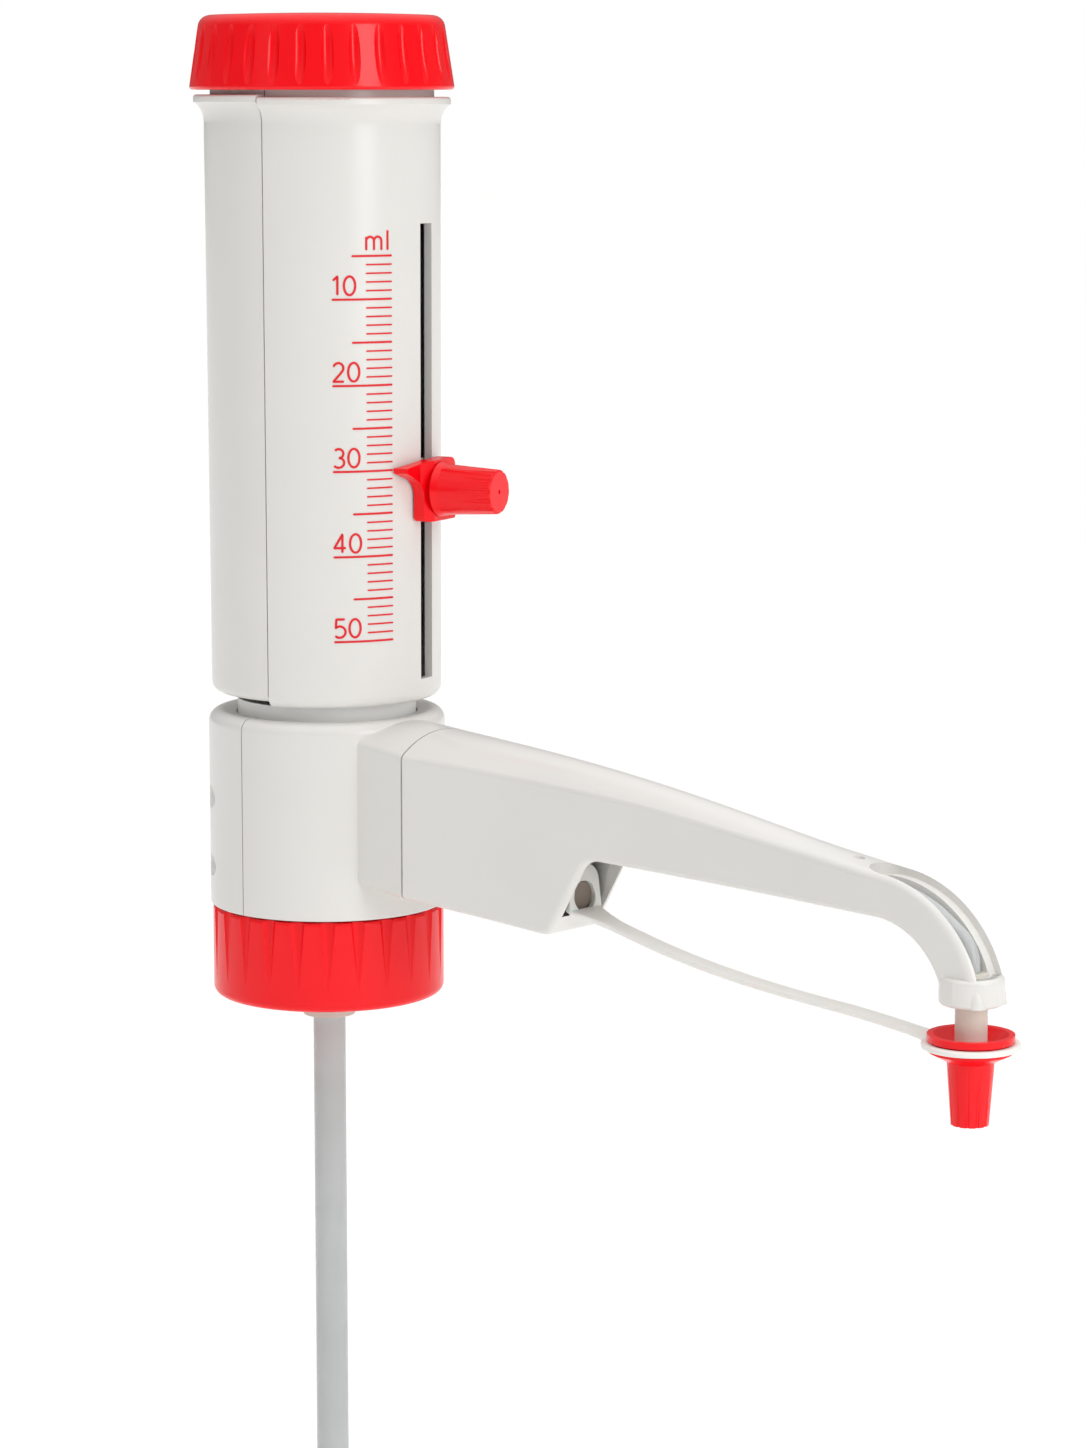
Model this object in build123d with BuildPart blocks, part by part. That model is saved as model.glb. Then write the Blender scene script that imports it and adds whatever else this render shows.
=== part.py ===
from build123d import *
import os
from math import atan, cos, degrees, radians, sin, sqrt, tan

os.makedirs("parts", exist_ok=True)

# Millimetres. The dispenser's axis is Z, the arm points along +X and the origin is at the nut's lower end.

# Clearances
running_gap = 0.05
free_gap = 0.4
seam_gap = 0.3
arm_seam_gap = 0.5
overrun = 1.0

# Nut on the threaded neck
nut_radius = 28.5
nut_height = 22.3
nut_edge = 2.0
nut_shoulder = 0.8
nut_thread_radius = 21.25
nut_thread_length = 14.0
nut_relief = 0.6
nut_flutes = 24
nut_flute_width = 3.9
nut_flute_depth = 1.0
nut_flute_start = 4.5

# Valve core and its seal on the neck's rim
seal_thickness = 1.5
seal_bore = 12.0
core_flange_thickness = 3.0
core_neck_radius = 15.6
core_base_radius = 24.0
core_base_thickness = 3.5
core_barrel_radius = 19.4
core_channel_radius = 2.2
core_boss_radius = 6.4
core_boss_end = 26.4
core_socket_depth = 6.0

# Valve block
block_radius = 29.0
block_height = 49.0
block_wall = 2.2
block_floor = 2.3
block_edge = 3.0
block_foot_edge = 0.6
block_opening_radius = 22.3
block_dish = 1.4
screw_radius = 1.5
screw_head_radius = 2.7
screw_head_height = 1.8
screw_length = 15.0
screw_spread = 23.2
screw_low = 10.0
screw_high = 27.0
screw_boss_radius = 3.4
screw_recess = 7.0
screw_thread_depth = 9.0
screw_hole_gap = 0.2
screw_drive_depth = 1.1

# Measuring cylinder and piston
bore_radius = 12.55
cylinder_wall = 2.0
cylinder_length = 128.0
cylinder_flange_radius = 17.6
cylinder_flange_thickness = 3.0
cylinder_seat = 23.3
cylinder_seal_thickness = 1.0
clamp_ring_height = 10.0
piston_rest_gap = 0.6

# Guide sleeve
sleeve_bore_gap = 0.45
sleeve_wall = 2.5
sleeve_top = 200.0
sleeve_ring_rise = 2.2
sleeve_flange_radius = 25.6
sleeve_flange_thickness = 3.2
sleeve_collar_height = 5.0
sleeve_collar_radius = 21.8
channel_width = 5.6
channel_wall = 2.0
channel_rib_radius = 21.3

# Casing
casing_gap = 2.7
casing_height = 145.0
casing_bottom_radius = 28.1
casing_top_radius = 28.5
casing_wall = 2.0
casing_edge = 2.5
casing_lip_radius = 23.0
casing_flare_height = 6.4
casing_flare_turn = 2.9
casing_flare_step = 0.75
casing_flange_radius = 31.0
casing_flange_thickness = 1.7
casing_neck_radius = 27.0
casing_neck_height = 8.6
casing_neck_wall = 2.2
rear_shell_rise = 0.6
rear_shell_trim = 0.6
casing_seam_angle = -74.5
slot_angle = 15.5
slot_width = 5.6
slot_low = 80.0
slot_high = 189.6
groove_rib = 2.0
groove_rib_depth = 2.4

# Piston holder in the casing's head
holder_bottom = 205.0
holder_thickness = 6.0
piston_stud_radius = 8.0
stud_rise = 1.0
small_chamfer = 0.6
stud_nut_radius = 13.0
stud_nut_height = 5.0

# Top cap
cap_gap = 1.7
cap_height = 17.6
cap_bottom_radius = 32.0
cap_top_radius = 29.3
cap_wall = 2.4
cap_edge = 3.0
cap_foot_edge = 0.8
cap_dome = 0.6
cap_sleeve_recess = 1.0
cap_sleeve_wall = 1.6
cap_flutes = 30
cap_flute_width = 2.9
cap_flute_depth = 0.75
cap_flute_low = 1.9
cap_flute_high = 15.4
cap_flute_run_out = 3.0

# Volume slider, drawn at the 30 ml line
pointer_height = 131.24
slider_top = 133.6
slider_bottom = 118.6
slider_face = 32.3
slider_right = 7.0
slider_left = 6.2
slider_waist = (-6.2, 124.9)
slider_waist_turn = (-7.3, 127.8)
slider_waist_end = (-9.2, 129.2)
slider_crest = (-3.6, 133.25)
pointer_reach = 12.4
pointer_half = 0.6
pointer_face = 29.7
pointer_shoulder = 30.4
slider_gap = 0.3
slider_tongue_width = 5.2
slider_tongue_height = 10.0
slider_corner = 2.2
foot_thickness = 3.0
foot_width = 12.0
foot_height = 14.0
foot_key_width = 5.0
foot_corner = 1.5
clamp_screw_radius = 2.0
clamp_hole_gap = 0.2

# Clamping knob
knob_gap = 0.3
knob_base_radius = 6.7
knob_root_radius = 6.1
knob_end_radius = 5.3
knob_length = 15.4
knob_flutes = 13
knob_flute_radius = 0.9
knob_smooth = 4.4
knob_flare = 1.6
knob_edge = 0.5
knob_dimple_radius = 0.5
knob_dimple_depth = 0.6
knob_blind = 5.0

# Arm
arm_seam = 39.8
arm_wall = 1.8
arm_root_width = 29.2
arm_tip_width = 11.6
arm_edge_slope = 0.085
arm_base_height = 29.9
arm_base_slope = -0.095
arm_under_slope = -0.032
arm_crown = 5.4
arm_crown_shares = ((0.18, 1.12), (0.37, 1.06), (0.56, 0.76), (0.73, 0.34))
arm_taper = 3.1
crown_overhang = 1.15
arm_round = 2.0
notch_angle = 59.7
notch_foot_x = 83.4
notch_foot_z = 28.8
notch_radius = 5.0
belly_radius = 3.0
spigot_length = 6.0
spigot_wall = 1.2
spigot_gap = 0.15
neck_inner_radius = 20.0
neck_outer_radius = 30.0
neck_centre_z = 22.7
arm_reach = 197.6
neck_setback = 23.6
collar_radius = 5.8
collar_bottom = 26.2
collar_height = 6.2
tube_groove_width = 4.4
tube_groove_radius = 23.4
tube_groove_start = 171.8
hand_groove_width = 9.2
hand_groove_radius = 28.2
hand_groove_start = 170.5
dimple_x = 166.5
dimple_radius = 1.3
dimple_depth = 0.3

# Outlet valve and discharge tube
outlet_height = 39.0
outlet_body_radius = 4.6
outlet_x = 52.0
outlet_boss_radius = 5.8
outlet_chamber_radius = 3.0
outlet_ball_radius = 2.4
outlet_seat_radius = 1.8
outlet_seat_rise = 2.5
outlet_lift = 1.2
ball_gap = 0.3
outlet_plug_radius = 4.4
outlet_plug_depth = 2.2
outlet_flange = 1.5
outlet_spout_radius = 3.2
outlet_spout_height = 2.2
outlet_end_radius = 6.0
outlet_end_start = 66.0
outlet_end_length = 11.0
outlet_end_drop = 3.4
outlet_nose_radius = 3.3
outlet_nose_end = 84.4
outlet_nose_drop = 4.2
tube_top = 58.6
tube_bend = 5.5
tube_middle = (120.0, 51.2)
tube_shoulder = (183.5, 48.0)
tube_drop_height = 38.5
tube_middle_bend = 150.0
tube_shoulder_bend = 30.0
tube_tip_bend = 8.0
tube_radius = 1.8
tube_bore = 1.2
tube_wall_gap = 0.05

# Suction valve and suction tube
suction_body_radius = 8.0
suction_socket_depth = 10.4
suction_ball_radius = 3.2
suction_seat_radius = 2.3
suction_chamber_radius = 3.9
suction_end = -6.0
suction_seat_depth = 6.0
suction_chamber_height = 8.0
suction_stem_radius = 6.4
suction_stem_cone = 2.0
suction_cage_radius = 5.0
suction_tube_socket = 12.0
suction_tube_radius = 4.0
suction_tube_bore = 3.0
upper_tube_end = -160.0
lower_tube_end = -166.0
lower_tube_wall = 0.8
lower_tube_start = -22.0

# Nozzle tip, closure cap and strap
tip_radius = 3.55
tip_end = 13.6
tip_rise = 0.6
tip_chamfer = 0.5
tip_bore = 1.2
closure_rim_radius = 9.55
closure_rim_top = 19.5
closure_rim_height = 1.55
closure_wall = 1.3
closure_neck_radius = 8.6
closure_bead = 0.55
closure_bore_bottom = 5.0
closure_bore_mouth = 1.2
closure_bore_flare = 0.5
strap_ring_radius = 10.85
strap_ring_height = 1.25
strap_ring_bottom = 16.4
closure_cone_bottom = 13.4
stem_top_radius = 5.2
stem_bottom_radius = 4.15
stem_end = -0.6
stem_flutes = 12
stem_flute_depth = 0.4
strap_points = ((85.2, 31.5), (96.0, 28.8), (112.0, 25.2), (130.0, 22.4), (150.0, 20.5), (172.0, 19.2))
strap_bend = 40.0
strap_width = 5.0
strap_thickness = 1.3
strap_root_length = 10.0
eyelet_thickness = 1.5
eyelet_width = 10.8
eyelet_top = 42.4
eyelet_lean = 8.0
eyelet_corner = 4.0
eyelet_hole_radius = 3.7
window_sill = 30.7
window_width = 14.0

# Levels and radii that follow
core_flange_top = nut_thread_length + 0.1 + seal_thickness + core_flange_thickness
nut_web_bottom = core_flange_top + free_gap
nut_hole_radius = core_neck_radius + free_gap
block_bottom = nut_height + free_gap
block_top = block_bottom + block_height
block_inner_radius = block_radius - block_wall
core_base_bottom = block_bottom + block_floor
core_base_top = core_base_bottom + core_base_thickness
opening_height = block_top - block_dish
opening_under = opening_height - block_wall
cylinder_radius = bore_radius + cylinder_wall
cylinder_bottom = block_bottom + cylinder_seat + cylinder_seal_thickness
cylinder_flange_top = cylinder_bottom + cylinder_flange_thickness
cup_radius = cylinder_flange_radius + running_gap
sleeve_flange_top = opening_under - free_gap
sleeve_bottom = sleeve_flange_top - sleeve_flange_thickness
cup_top = sleeve_bottom - free_gap
sleeve_bore = cylinder_radius + sleeve_bore_gap
sleeve_radius = sleeve_bore + sleeve_wall
sleeve_ring_radius = block_opening_radius - free_gap
casing_bottom = block_top + casing_gap
sleeve_ring_top = block_top + sleeve_ring_rise
flange_top = casing_bottom + casing_height
flange_bottom = flange_top - casing_flange_thickness
flare_bottom = flange_top - casing_flare_height
neck_top = flange_top + casing_neck_height
piston_radius = bore_radius - running_gap
piston_bottom = cylinder_bottom + piston_rest_gap
holder_top = holder_bottom + holder_thickness
cap_bottom = flange_top + cap_gap
cap_top = cap_bottom + cap_height
slider_centre = (slider_top + slider_bottom) / 2
neck_centre_x = arm_reach - neck_setback
outlet_socket_start = core_boss_end - core_socket_depth


def radial_plane(angle):
    """Upright plane through the axis: its x points outwards at the angle, its y points up."""
    turn = radians(angle)
    return Plane(origin=(0, 0, 0), x_dir=(cos(turn), sin(turn), 0), z_dir=(sin(turn), -cos(turn), 0))


def outward_plane(angle, distance, height):
    """Plane that faces outwards at the angle: its x points sideways, its y points up."""
    turn = radians(angle)
    origin = (distance * cos(turn), distance * sin(turn), height)
    return Plane(origin=origin, x_dir=(-sin(turn), cos(turn), 0), z_dir=(cos(turn), sin(turn), 0))


def flute_radius(width, depth):
    """Radius of the round cutter that leaves a groove of this width and depth."""
    return (width * width / 4 + depth * depth) / (2 * depth)


def write(piece, name):
    piece.part.label = name
    export_step(piece.part, f"parts/{name}.step")


# Nut
nut_cutter = flute_radius(nut_flute_width, nut_flute_depth)
with BuildPart() as nut_flute:
    with BuildSketch(Plane.XY.offset(nut_height + overrun)):
        with Locations((nut_radius + nut_cutter - nut_flute_depth, 0)):
            Circle(nut_cutter)
    with BuildSketch(Plane.XY.offset(nut_flute_start)):
        with Locations((nut_radius + nut_flute_depth / 5, 0)):
            Circle(nut_flute_depth / 5)
    loft()

with BuildPart() as neck_nut:
    with BuildSketch(Plane.XZ):
        with BuildLine():
            Polyline(
                (nut_thread_radius, 0),
                (nut_radius, 0),
                (nut_radius, nut_height),
                (nut_hole_radius, nut_height),
                (nut_hole_radius, nut_web_bottom),
                (nut_thread_radius + nut_relief, nut_web_bottom),
                (nut_thread_radius + nut_relief, nut_thread_length),
                (nut_thread_radius, nut_thread_length),
                close=True,
            )
        make_face()
    revolve(axis=Axis.Z)
    outer_rims = neck_nut.edges().filter_by(GeomType.CIRCLE).group_by(SortBy.RADIUS)[-1]
    fillet(outer_rims.sort_by(Axis.Z)[0], nut_edge)
    fillet(outer_rims.sort_by(Axis.Z)[-1], nut_shoulder)
    with PolarLocations(0, nut_flutes):
        add(nut_flute.part, mode=Mode.SUBTRACT)
write(neck_nut, "neck_nut")

# Neck seal under the core's flange
with BuildPart() as neck_seal:
    with BuildSketch(Plane.XY.offset(core_flange_top - core_flange_thickness - seal_thickness)):
        Circle(nut_thread_radius - free_gap)
        Circle(seal_bore, mode=Mode.SUBTRACT)
    extrude(amount=seal_thickness)
write(neck_seal, "neck_seal")

# Valve core: flange, neck, base, cup for the cylinder, and the boss for the outlet valve
core_flange_bottom = core_flange_top - core_flange_thickness
suction_socket_top = core_flange_bottom + suction_socket_depth
with BuildPart() as valve_core:
    with BuildSketch(Plane.XZ):
        with BuildLine():
            Polyline(
                (0, core_flange_bottom),
                (nut_thread_radius - free_gap, core_flange_bottom),
                (nut_thread_radius - free_gap, core_flange_top),
                (core_neck_radius, core_flange_top),
                (core_neck_radius, core_base_bottom),
                (core_base_radius, core_base_bottom),
                (core_base_radius, core_base_top),
                (core_barrel_radius, core_base_top),
                (core_barrel_radius, cup_top),
                (cup_radius, cup_top),
                (cup_radius, cylinder_bottom - cylinder_seal_thickness),
                (0, cylinder_bottom - cylinder_seal_thickness),
                close=True,
            )
        make_face()
    revolve(axis=Axis.Z)
    with BuildSketch(Plane.YZ.offset(core_barrel_radius / 2)):
        with Locations((0, outlet_height)):
            Circle(core_boss_radius)
    extrude(amount=core_boss_end - core_barrel_radius / 2)
    with BuildSketch(Plane.YZ):
        with Locations((0, outlet_height)):
            Circle(core_channel_radius)
    extrude(amount=core_boss_end, mode=Mode.SUBTRACT)
    with BuildSketch(Plane.YZ.offset(outlet_socket_start)):
        with Locations((0, outlet_height)):
            Circle(outlet_body_radius + running_gap)
    extrude(amount=core_socket_depth, mode=Mode.SUBTRACT)
    with BuildSketch(Plane.XY.offset(core_flange_bottom)):
        Circle(core_channel_radius)
    extrude(amount=cup_top, mode=Mode.SUBTRACT)
    with BuildSketch(Plane.XY.offset(core_flange_bottom)):
        Circle(suction_body_radius + running_gap)
    extrude(amount=suction_socket_depth, mode=Mode.SUBTRACT)
write(valve_core, "valve_core")

# Suction valve: body with its seat, cage above it, ball between them
suction_seat = core_flange_bottom - suction_seat_depth
suction_chamber_top = suction_seat + suction_chamber_height
suction_socket_end = suction_end + suction_tube_socket
with BuildPart() as suction_valve_body:
    with BuildSketch(Plane.XZ):
        with BuildLine():
            Polyline(
                (suction_seat_radius, suction_seat),
                (suction_seat_radius, suction_socket_end),
                (suction_tube_radius + running_gap, suction_socket_end),
                (suction_tube_radius + running_gap, suction_end),
                (suction_stem_radius, suction_end),
                (suction_stem_radius, core_flange_bottom - 2 * suction_stem_cone),
                (suction_body_radius, core_flange_bottom - suction_stem_cone),
                (suction_body_radius, suction_socket_top),
                (suction_cage_radius, suction_socket_top),
                (suction_cage_radius, suction_chamber_top),
                (suction_chamber_radius, suction_chamber_top),
                (suction_chamber_radius, suction_seat),
                close=True,
            )
        make_face()
    revolve(axis=Axis.Z)
write(suction_valve_body, "suction_valve_body")

with BuildPart() as suction_valve_cage:
    with BuildSketch(Plane.XY.offset(suction_chamber_top)):
        Circle(suction_cage_radius - running_gap)
        Circle(core_channel_radius, mode=Mode.SUBTRACT)
    extrude(amount=suction_socket_top - suction_chamber_top)
write(suction_valve_cage, "suction_valve_cage")

suction_ball_height = suction_seat + sqrt(suction_ball_radius ** 2 - suction_seat_radius ** 2) + ball_gap
with BuildPart(Plane.XY.offset(suction_ball_height)) as suction_ball:
    Sphere(suction_ball_radius)
write(suction_ball, "suction_ball")

# Suction tubes, the lower one telescopes in the upper one
with BuildPart() as upper_suction_tube:
    with BuildSketch(Plane.XY.offset(upper_tube_end)):
        Circle(suction_tube_radius)
        Circle(suction_tube_bore, mode=Mode.SUBTRACT)
    extrude(amount=suction_socket_end - upper_tube_end)
write(upper_suction_tube, "upper_suction_tube")

lower_tube_radius = suction_tube_bore - running_gap
with BuildPart() as lower_suction_tube:
    with BuildSketch(Plane.XY.offset(lower_tube_end)):
        Circle(lower_tube_radius)
        Circle(lower_tube_radius - lower_tube_wall, mode=Mode.SUBTRACT)
    extrude(amount=lower_tube_start - lower_tube_end)
write(lower_suction_tube, "lower_suction_tube")

# Measuring cylinder with its seal and its clamp ring
with BuildPart() as cylinder_seal:
    with BuildSketch(Plane.XY.offset(cylinder_bottom - cylinder_seal_thickness)):
        Circle(cylinder_flange_radius)
        Circle(bore_radius, mode=Mode.SUBTRACT)
    extrude(amount=cylinder_seal_thickness)
write(cylinder_seal, "cylinder_seal")

with BuildPart() as measuring_cylinder:
    with BuildSketch(Plane.XZ):
        with BuildLine():
            Polyline(
                (bore_radius, cylinder_bottom),
                (cylinder_flange_radius, cylinder_bottom),
                (cylinder_flange_radius, cylinder_flange_top),
                (cylinder_radius, cylinder_flange_top),
                (cylinder_radius, cylinder_bottom + cylinder_length),
                (bore_radius, cylinder_bottom + cylinder_length),
                close=True,
            )
        make_face()
    revolve(axis=Axis.Z)
write(measuring_cylinder, "measuring_cylinder")

with BuildPart() as cylinder_clamp_ring:
    with BuildSketch(Plane.XY.offset(cylinder_flange_top)):
        Circle(cylinder_flange_radius)
        Circle(cylinder_radius + running_gap, mode=Mode.SUBTRACT)
    extrude(amount=clamp_ring_height)
write(cylinder_clamp_ring, "cylinder_clamp_ring")

# Guide sleeve: ring held under the block's lip, tube, and the channel for the slider's key
rib_height = sleeve_top - sleeve_ring_top
rib_start = sleeve_bore + sleeve_wall / 2
with BuildPart() as guide_sleeve:
    with BuildSketch(Plane.XZ):
        with BuildLine():
            Polyline(
                (sleeve_bore, sleeve_bottom),
                (sleeve_flange_radius, sleeve_bottom),
                (sleeve_flange_radius, sleeve_flange_top),
                (sleeve_ring_radius, sleeve_flange_top),
                (sleeve_ring_radius, sleeve_ring_top),
                (sleeve_radius, sleeve_ring_top),
                (sleeve_radius, sleeve_top - sleeve_collar_height),
                (sleeve_collar_radius, sleeve_top - sleeve_collar_height),
                (sleeve_collar_radius, sleeve_top),
                (sleeve_bore, sleeve_top),
                close=True,
            )
        make_face()
    revolve(axis=Axis.Z)
    with BuildSketch(Plane.XY.offset(sleeve_ring_top)):
        with PolarLocations(0, 1, start_angle=slot_angle):
            with Locations(
                (rib_start, (channel_width + channel_wall) / 2),
                (rib_start, -(channel_width + channel_wall) / 2),
            ):
                Rectangle(
                    channel_rib_radius - rib_start,
                    channel_wall,
                    align=(Align.MIN, Align.CENTER),
                )
    extrude(amount=rib_height)
    with BuildSketch(Plane.XY.offset(sleeve_ring_top)):
        with PolarLocations(0, 1, start_angle=slot_angle):
            with Locations((sleeve_radius, 0)):
                Rectangle(sleeve_collar_radius, channel_width, align=(Align.MIN, Align.CENTER))
    extrude(amount=rib_height + overrun, mode=Mode.SUBTRACT)
write(guide_sleeve, "guide_sleeve")

# Casing: two half shells with a flared flange, a neck for the cap and a groove for the piston holder
seam_turn = degrees(seam_gap / 2 / casing_top_radius)


def casing_shell(start_angle, bottom, rise):
    """Half of the casing from one seam to the other."""
    top_wall = casing_top_radius - casing_wall
    with BuildPart() as shell:
        with BuildSketch(radial_plane(start_angle + seam_turn)) as section:
            with BuildLine():
                Polyline(
                    (casing_lip_radius, bottom + casing_wall),
                    (casing_lip_radius, bottom),
                    (casing_bottom_radius, bottom),
                    (casing_top_radius, flare_bottom + rise),
                )
                ThreePointArc(
                    (casing_top_radius, flare_bottom + rise),
                    (casing_top_radius + casing_flare_step, flare_bottom + rise + casing_flare_turn),
                    (casing_flange_radius, flange_bottom + rise),
                )
                Polyline(
                    (casing_flange_radius, flange_bottom + rise),
                    (casing_flange_radius, flange_top + rise),
                    (casing_neck_radius, flange_top + rise),
                    (casing_neck_radius, neck_top),
                    (casing_neck_radius - casing_neck_wall, neck_top),
                    (casing_neck_radius - casing_neck_wall, holder_top + groove_rib),
                    (top_wall - groove_rib_depth, holder_top + groove_rib),
                    (top_wall - groove_rib_depth, holder_top),
                    (top_wall, holder_top),
                    (top_wall, holder_bottom),
                    (top_wall - groove_rib_depth, holder_bottom),
                    (top_wall - groove_rib_depth, holder_bottom - groove_rib),
                    (top_wall, holder_bottom - groove_rib),
                    (casing_bottom_radius - casing_wall, bottom + casing_wall),
                    (casing_lip_radius, bottom + casing_wall),
                )
            make_face()
            fillet(section.vertices().sort_by_distance((casing_bottom_radius, bottom))[0], casing_edge)
            rims = section.vertices().sort_by_distance((casing_flange_radius, flange_top + rise))
            fillet(rims[0], casing_flange_thickness * 0.45)
        revolve(axis=Axis.Z, revolution_arc=180 - 2 * seam_turn)
    return shell


front_half = casing_shell(casing_seam_angle, casing_bottom, 0)
with BuildPart() as scale_shell:
    add(front_half.part)
    with BuildSketch(outward_plane(slot_angle, sleeve_collar_radius, 0)):
        with Locations((0, (slot_low + slot_high) / 2)):
            Rectangle(slot_width, slot_high - slot_low)
    extrude(amount=casing_flange_radius - sleeve_collar_radius, mode=Mode.SUBTRACT)
write(scale_shell, "scale_shell")

rear_bottom = casing_bottom + rear_shell_rise + rear_shell_trim
rear_half = casing_shell(casing_seam_angle + 180, rear_bottom, rear_shell_rise)
write(rear_half, "rear_shell")

# Piston, its holder in the casing's groove, and the nut on its stud
with BuildPart() as piston:
    with BuildSketch(Plane.XY.offset(piston_bottom)):
        Circle(piston_radius)
    extrude(amount=holder_bottom - piston_bottom)
    chamfer(piston.faces().sort_by(Axis.Z)[0].edges(), small_chamfer)
    with BuildSketch(Plane.XY.offset(holder_bottom)):
        Circle(piston_stud_radius)
    extrude(amount=holder_thickness + stud_nut_height + stud_rise)
write(piston, "piston")

with BuildPart() as piston_holder:
    with BuildSketch(Plane.XY.offset(holder_bottom)):
        Circle(casing_top_radius - casing_wall - running_gap)
        Circle(piston_stud_radius + running_gap, mode=Mode.SUBTRACT)
    extrude(amount=holder_thickness)
write(piston_holder, "piston_holder")

with BuildPart() as piston_nut:
    with BuildSketch(Plane.XY.offset(holder_top)):
        RegularPolygon(stud_nut_radius, 6)
        Circle(piston_stud_radius + running_gap, mode=Mode.SUBTRACT)
    extrude(amount=stud_nut_height)
    chamfer(piston_nut.faces().sort_by(Axis.Z)[-1].outer_wire().edges(), small_chamfer)
write(piston_nut, "piston_nut")

# Top cap with its ring of lens-shaped grooves
cap_cutter = flute_radius(cap_flute_width, cap_flute_depth)
cap_flute_middle = cap_bottom + (cap_flute_low + cap_flute_high) / 2


def cap_radius(height):
    """Outer radius of the cap's tapered side at a height."""
    return cap_bottom_radius - (height - cap_bottom) * (cap_bottom_radius - cap_top_radius) / cap_height


cap_flute_half = (cap_flute_high - cap_flute_low) / 2
cap_flute_reach = cap_flute_half + cap_flute_run_out
cap_flute_end = cap_cutter + cap_flute_depth * ((cap_flute_reach / cap_flute_half) ** 2 - 1)
cap_flute_foot = cap_flute_middle - cap_flute_reach
cap_flute_head = cap_flute_middle + cap_flute_reach
with BuildPart() as cap_flute:
    with BuildLine(Plane.XZ):
        flute_path = ThreePointArc(
            (cap_radius(cap_flute_foot) + cap_flute_end, cap_flute_foot),
            (cap_radius(cap_flute_middle) + cap_cutter - cap_flute_depth, cap_flute_middle),
            (cap_radius(cap_flute_head) + cap_flute_end, cap_flute_head),
        )
    with BuildSketch(Plane(origin=flute_path @ 0, z_dir=flute_path % 0)):
        Circle(cap_cutter)
    sweep()

with BuildPart() as top_cap:
    with BuildSketch(Plane.XZ) as cap_section:
        with BuildLine():
            Line((0, cap_top + cap_dome), (0, cap_top - cap_wall))
            Polyline(
                (0, cap_top - cap_wall),
                (casing_neck_radius + free_gap, cap_top - cap_wall),
                (casing_neck_radius + free_gap, cap_bottom + cap_sleeve_recess),
                (casing_neck_radius + free_gap + cap_sleeve_wall, cap_bottom + cap_sleeve_recess),
                (casing_neck_radius + free_gap + cap_sleeve_wall, cap_bottom),
                (cap_bottom_radius, cap_bottom),
                (cap_top_radius, cap_top),
            )
            TangentArc((0, cap_top + cap_dome), (cap_top_radius, cap_top), tangent=(1, 0))
        make_face()
        fillet(cap_section.vertices().sort_by_distance((cap_top_radius, cap_top))[0], cap_edge)
        fillet(cap_section.vertices().sort_by_distance((cap_bottom_radius, cap_bottom))[0], cap_foot_edge)
    revolve(axis=Axis.Z)
    with PolarLocations(0, cap_flutes, start_angle=180 / cap_flutes):
        add(cap_flute.part, mode=Mode.SUBTRACT)
write(top_cap, "top_cap")

# Lines that the arm and the block's stub share
arm_root_half = arm_root_width / 2
neck_turn = atan(arm_edge_slope)
under_turn = atan(-arm_under_slope)
neck_start_x = neck_centre_x + neck_outer_radius * sin(neck_turn)
neck_start_z = neck_centre_z + neck_outer_radius * cos(neck_turn)
under_end_x = neck_centre_x + neck_inner_radius * sin(under_turn)
under_end_z = neck_centre_z + neck_inner_radius * cos(under_turn)
notch_slope = tan(radians(notch_angle))
stub_start = core_barrel_radius


def arm_edge(x):
    """Height of the line where the arm's side meets its crowned top."""
    return neck_start_z + arm_edge_slope * (neck_start_x - x)


def arm_under(x):
    """Height of the slender arm's underside."""
    return under_end_z - arm_under_slope * (under_end_x - x)


def arm_base(x):
    """Height of the deep root's underside."""
    return arm_base_height + arm_base_slope * (x - arm_seam)


def arm_half(x):
    """Half of the arm's width, which narrows from the root to the tip."""
    if x <= arm_seam:
        return arm_root_half
    run = (x - arm_seam) / (arm_reach - arm_seam)
    return arm_tip_width / 2 + (arm_root_half - arm_tip_width / 2) * (1 - run) ** arm_taper


def meet(x0, z0, slope, line):
    """Point where a slanted line through (x0, z0) meets one of the arm's own lines."""
    fall = line(1) - line(0)
    x = (line(0) - z0 + slope * x0) / (slope - fall)
    return (x, line(x))


arm_length = arm_reach - arm_seam
plan_stations = [arm_seam + arm_length * i / 8 for i in range(9)]
crown_stations = [(stub_start - 5, 1.0), (arm_seam, 1.0)]
crown_stations += [(arm_seam + arm_length * run, share) for run, share in arm_crown_shares]
crown_stations += [(neck_start_x, 0)]
high = arm_edge(0) * 1.5

with BuildPart() as crown_cutter:
    for x, share in crown_stations:
        half = arm_half(x) * crown_overhang
        rise = arm_crown * share
        low = arm_edge(x) - (crown_overhang ** 2 - 1) * rise
        with BuildSketch(Plane.YZ.offset(x)):
            with BuildLine():
                if share:
                    ThreePointArc((-half, low), (0, arm_edge(x) + rise), (half, low))
                else:
                    Line((-half, low), (half, low))
                Polyline((half, low), (half, high), (-half, high), (-half, low))
            make_face()
    loft()


def notch_corners(inset):
    """Lower and upper corner of the notch under the arm, moved inwards by the inset."""
    foot_x = notch_foot_x - inset / sin(radians(notch_angle))
    belly = meet(foot_x, notch_foot_z, notch_slope, lambda x: arm_base(x) + inset)
    apex = meet(foot_x, notch_foot_z, notch_slope, lambda x: arm_under(x) + inset)
    return belly, apex


def arm_plan(inset, start):
    """The arm seen from above, as the upper half of its outline closed on the centre line."""
    end = arm_reach + 2 * collar_radius
    Spline([(x, arm_half(x) - inset) for x in plan_stations])
    Polyline(
        (arm_reach, arm_half(arm_reach) - inset),
        (end, arm_half(arm_reach) - inset),
        (end, 0),
        (start, 0),
        (start, arm_root_half - inset),
        (arm_seam, arm_root_half - inset),
    )


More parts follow.
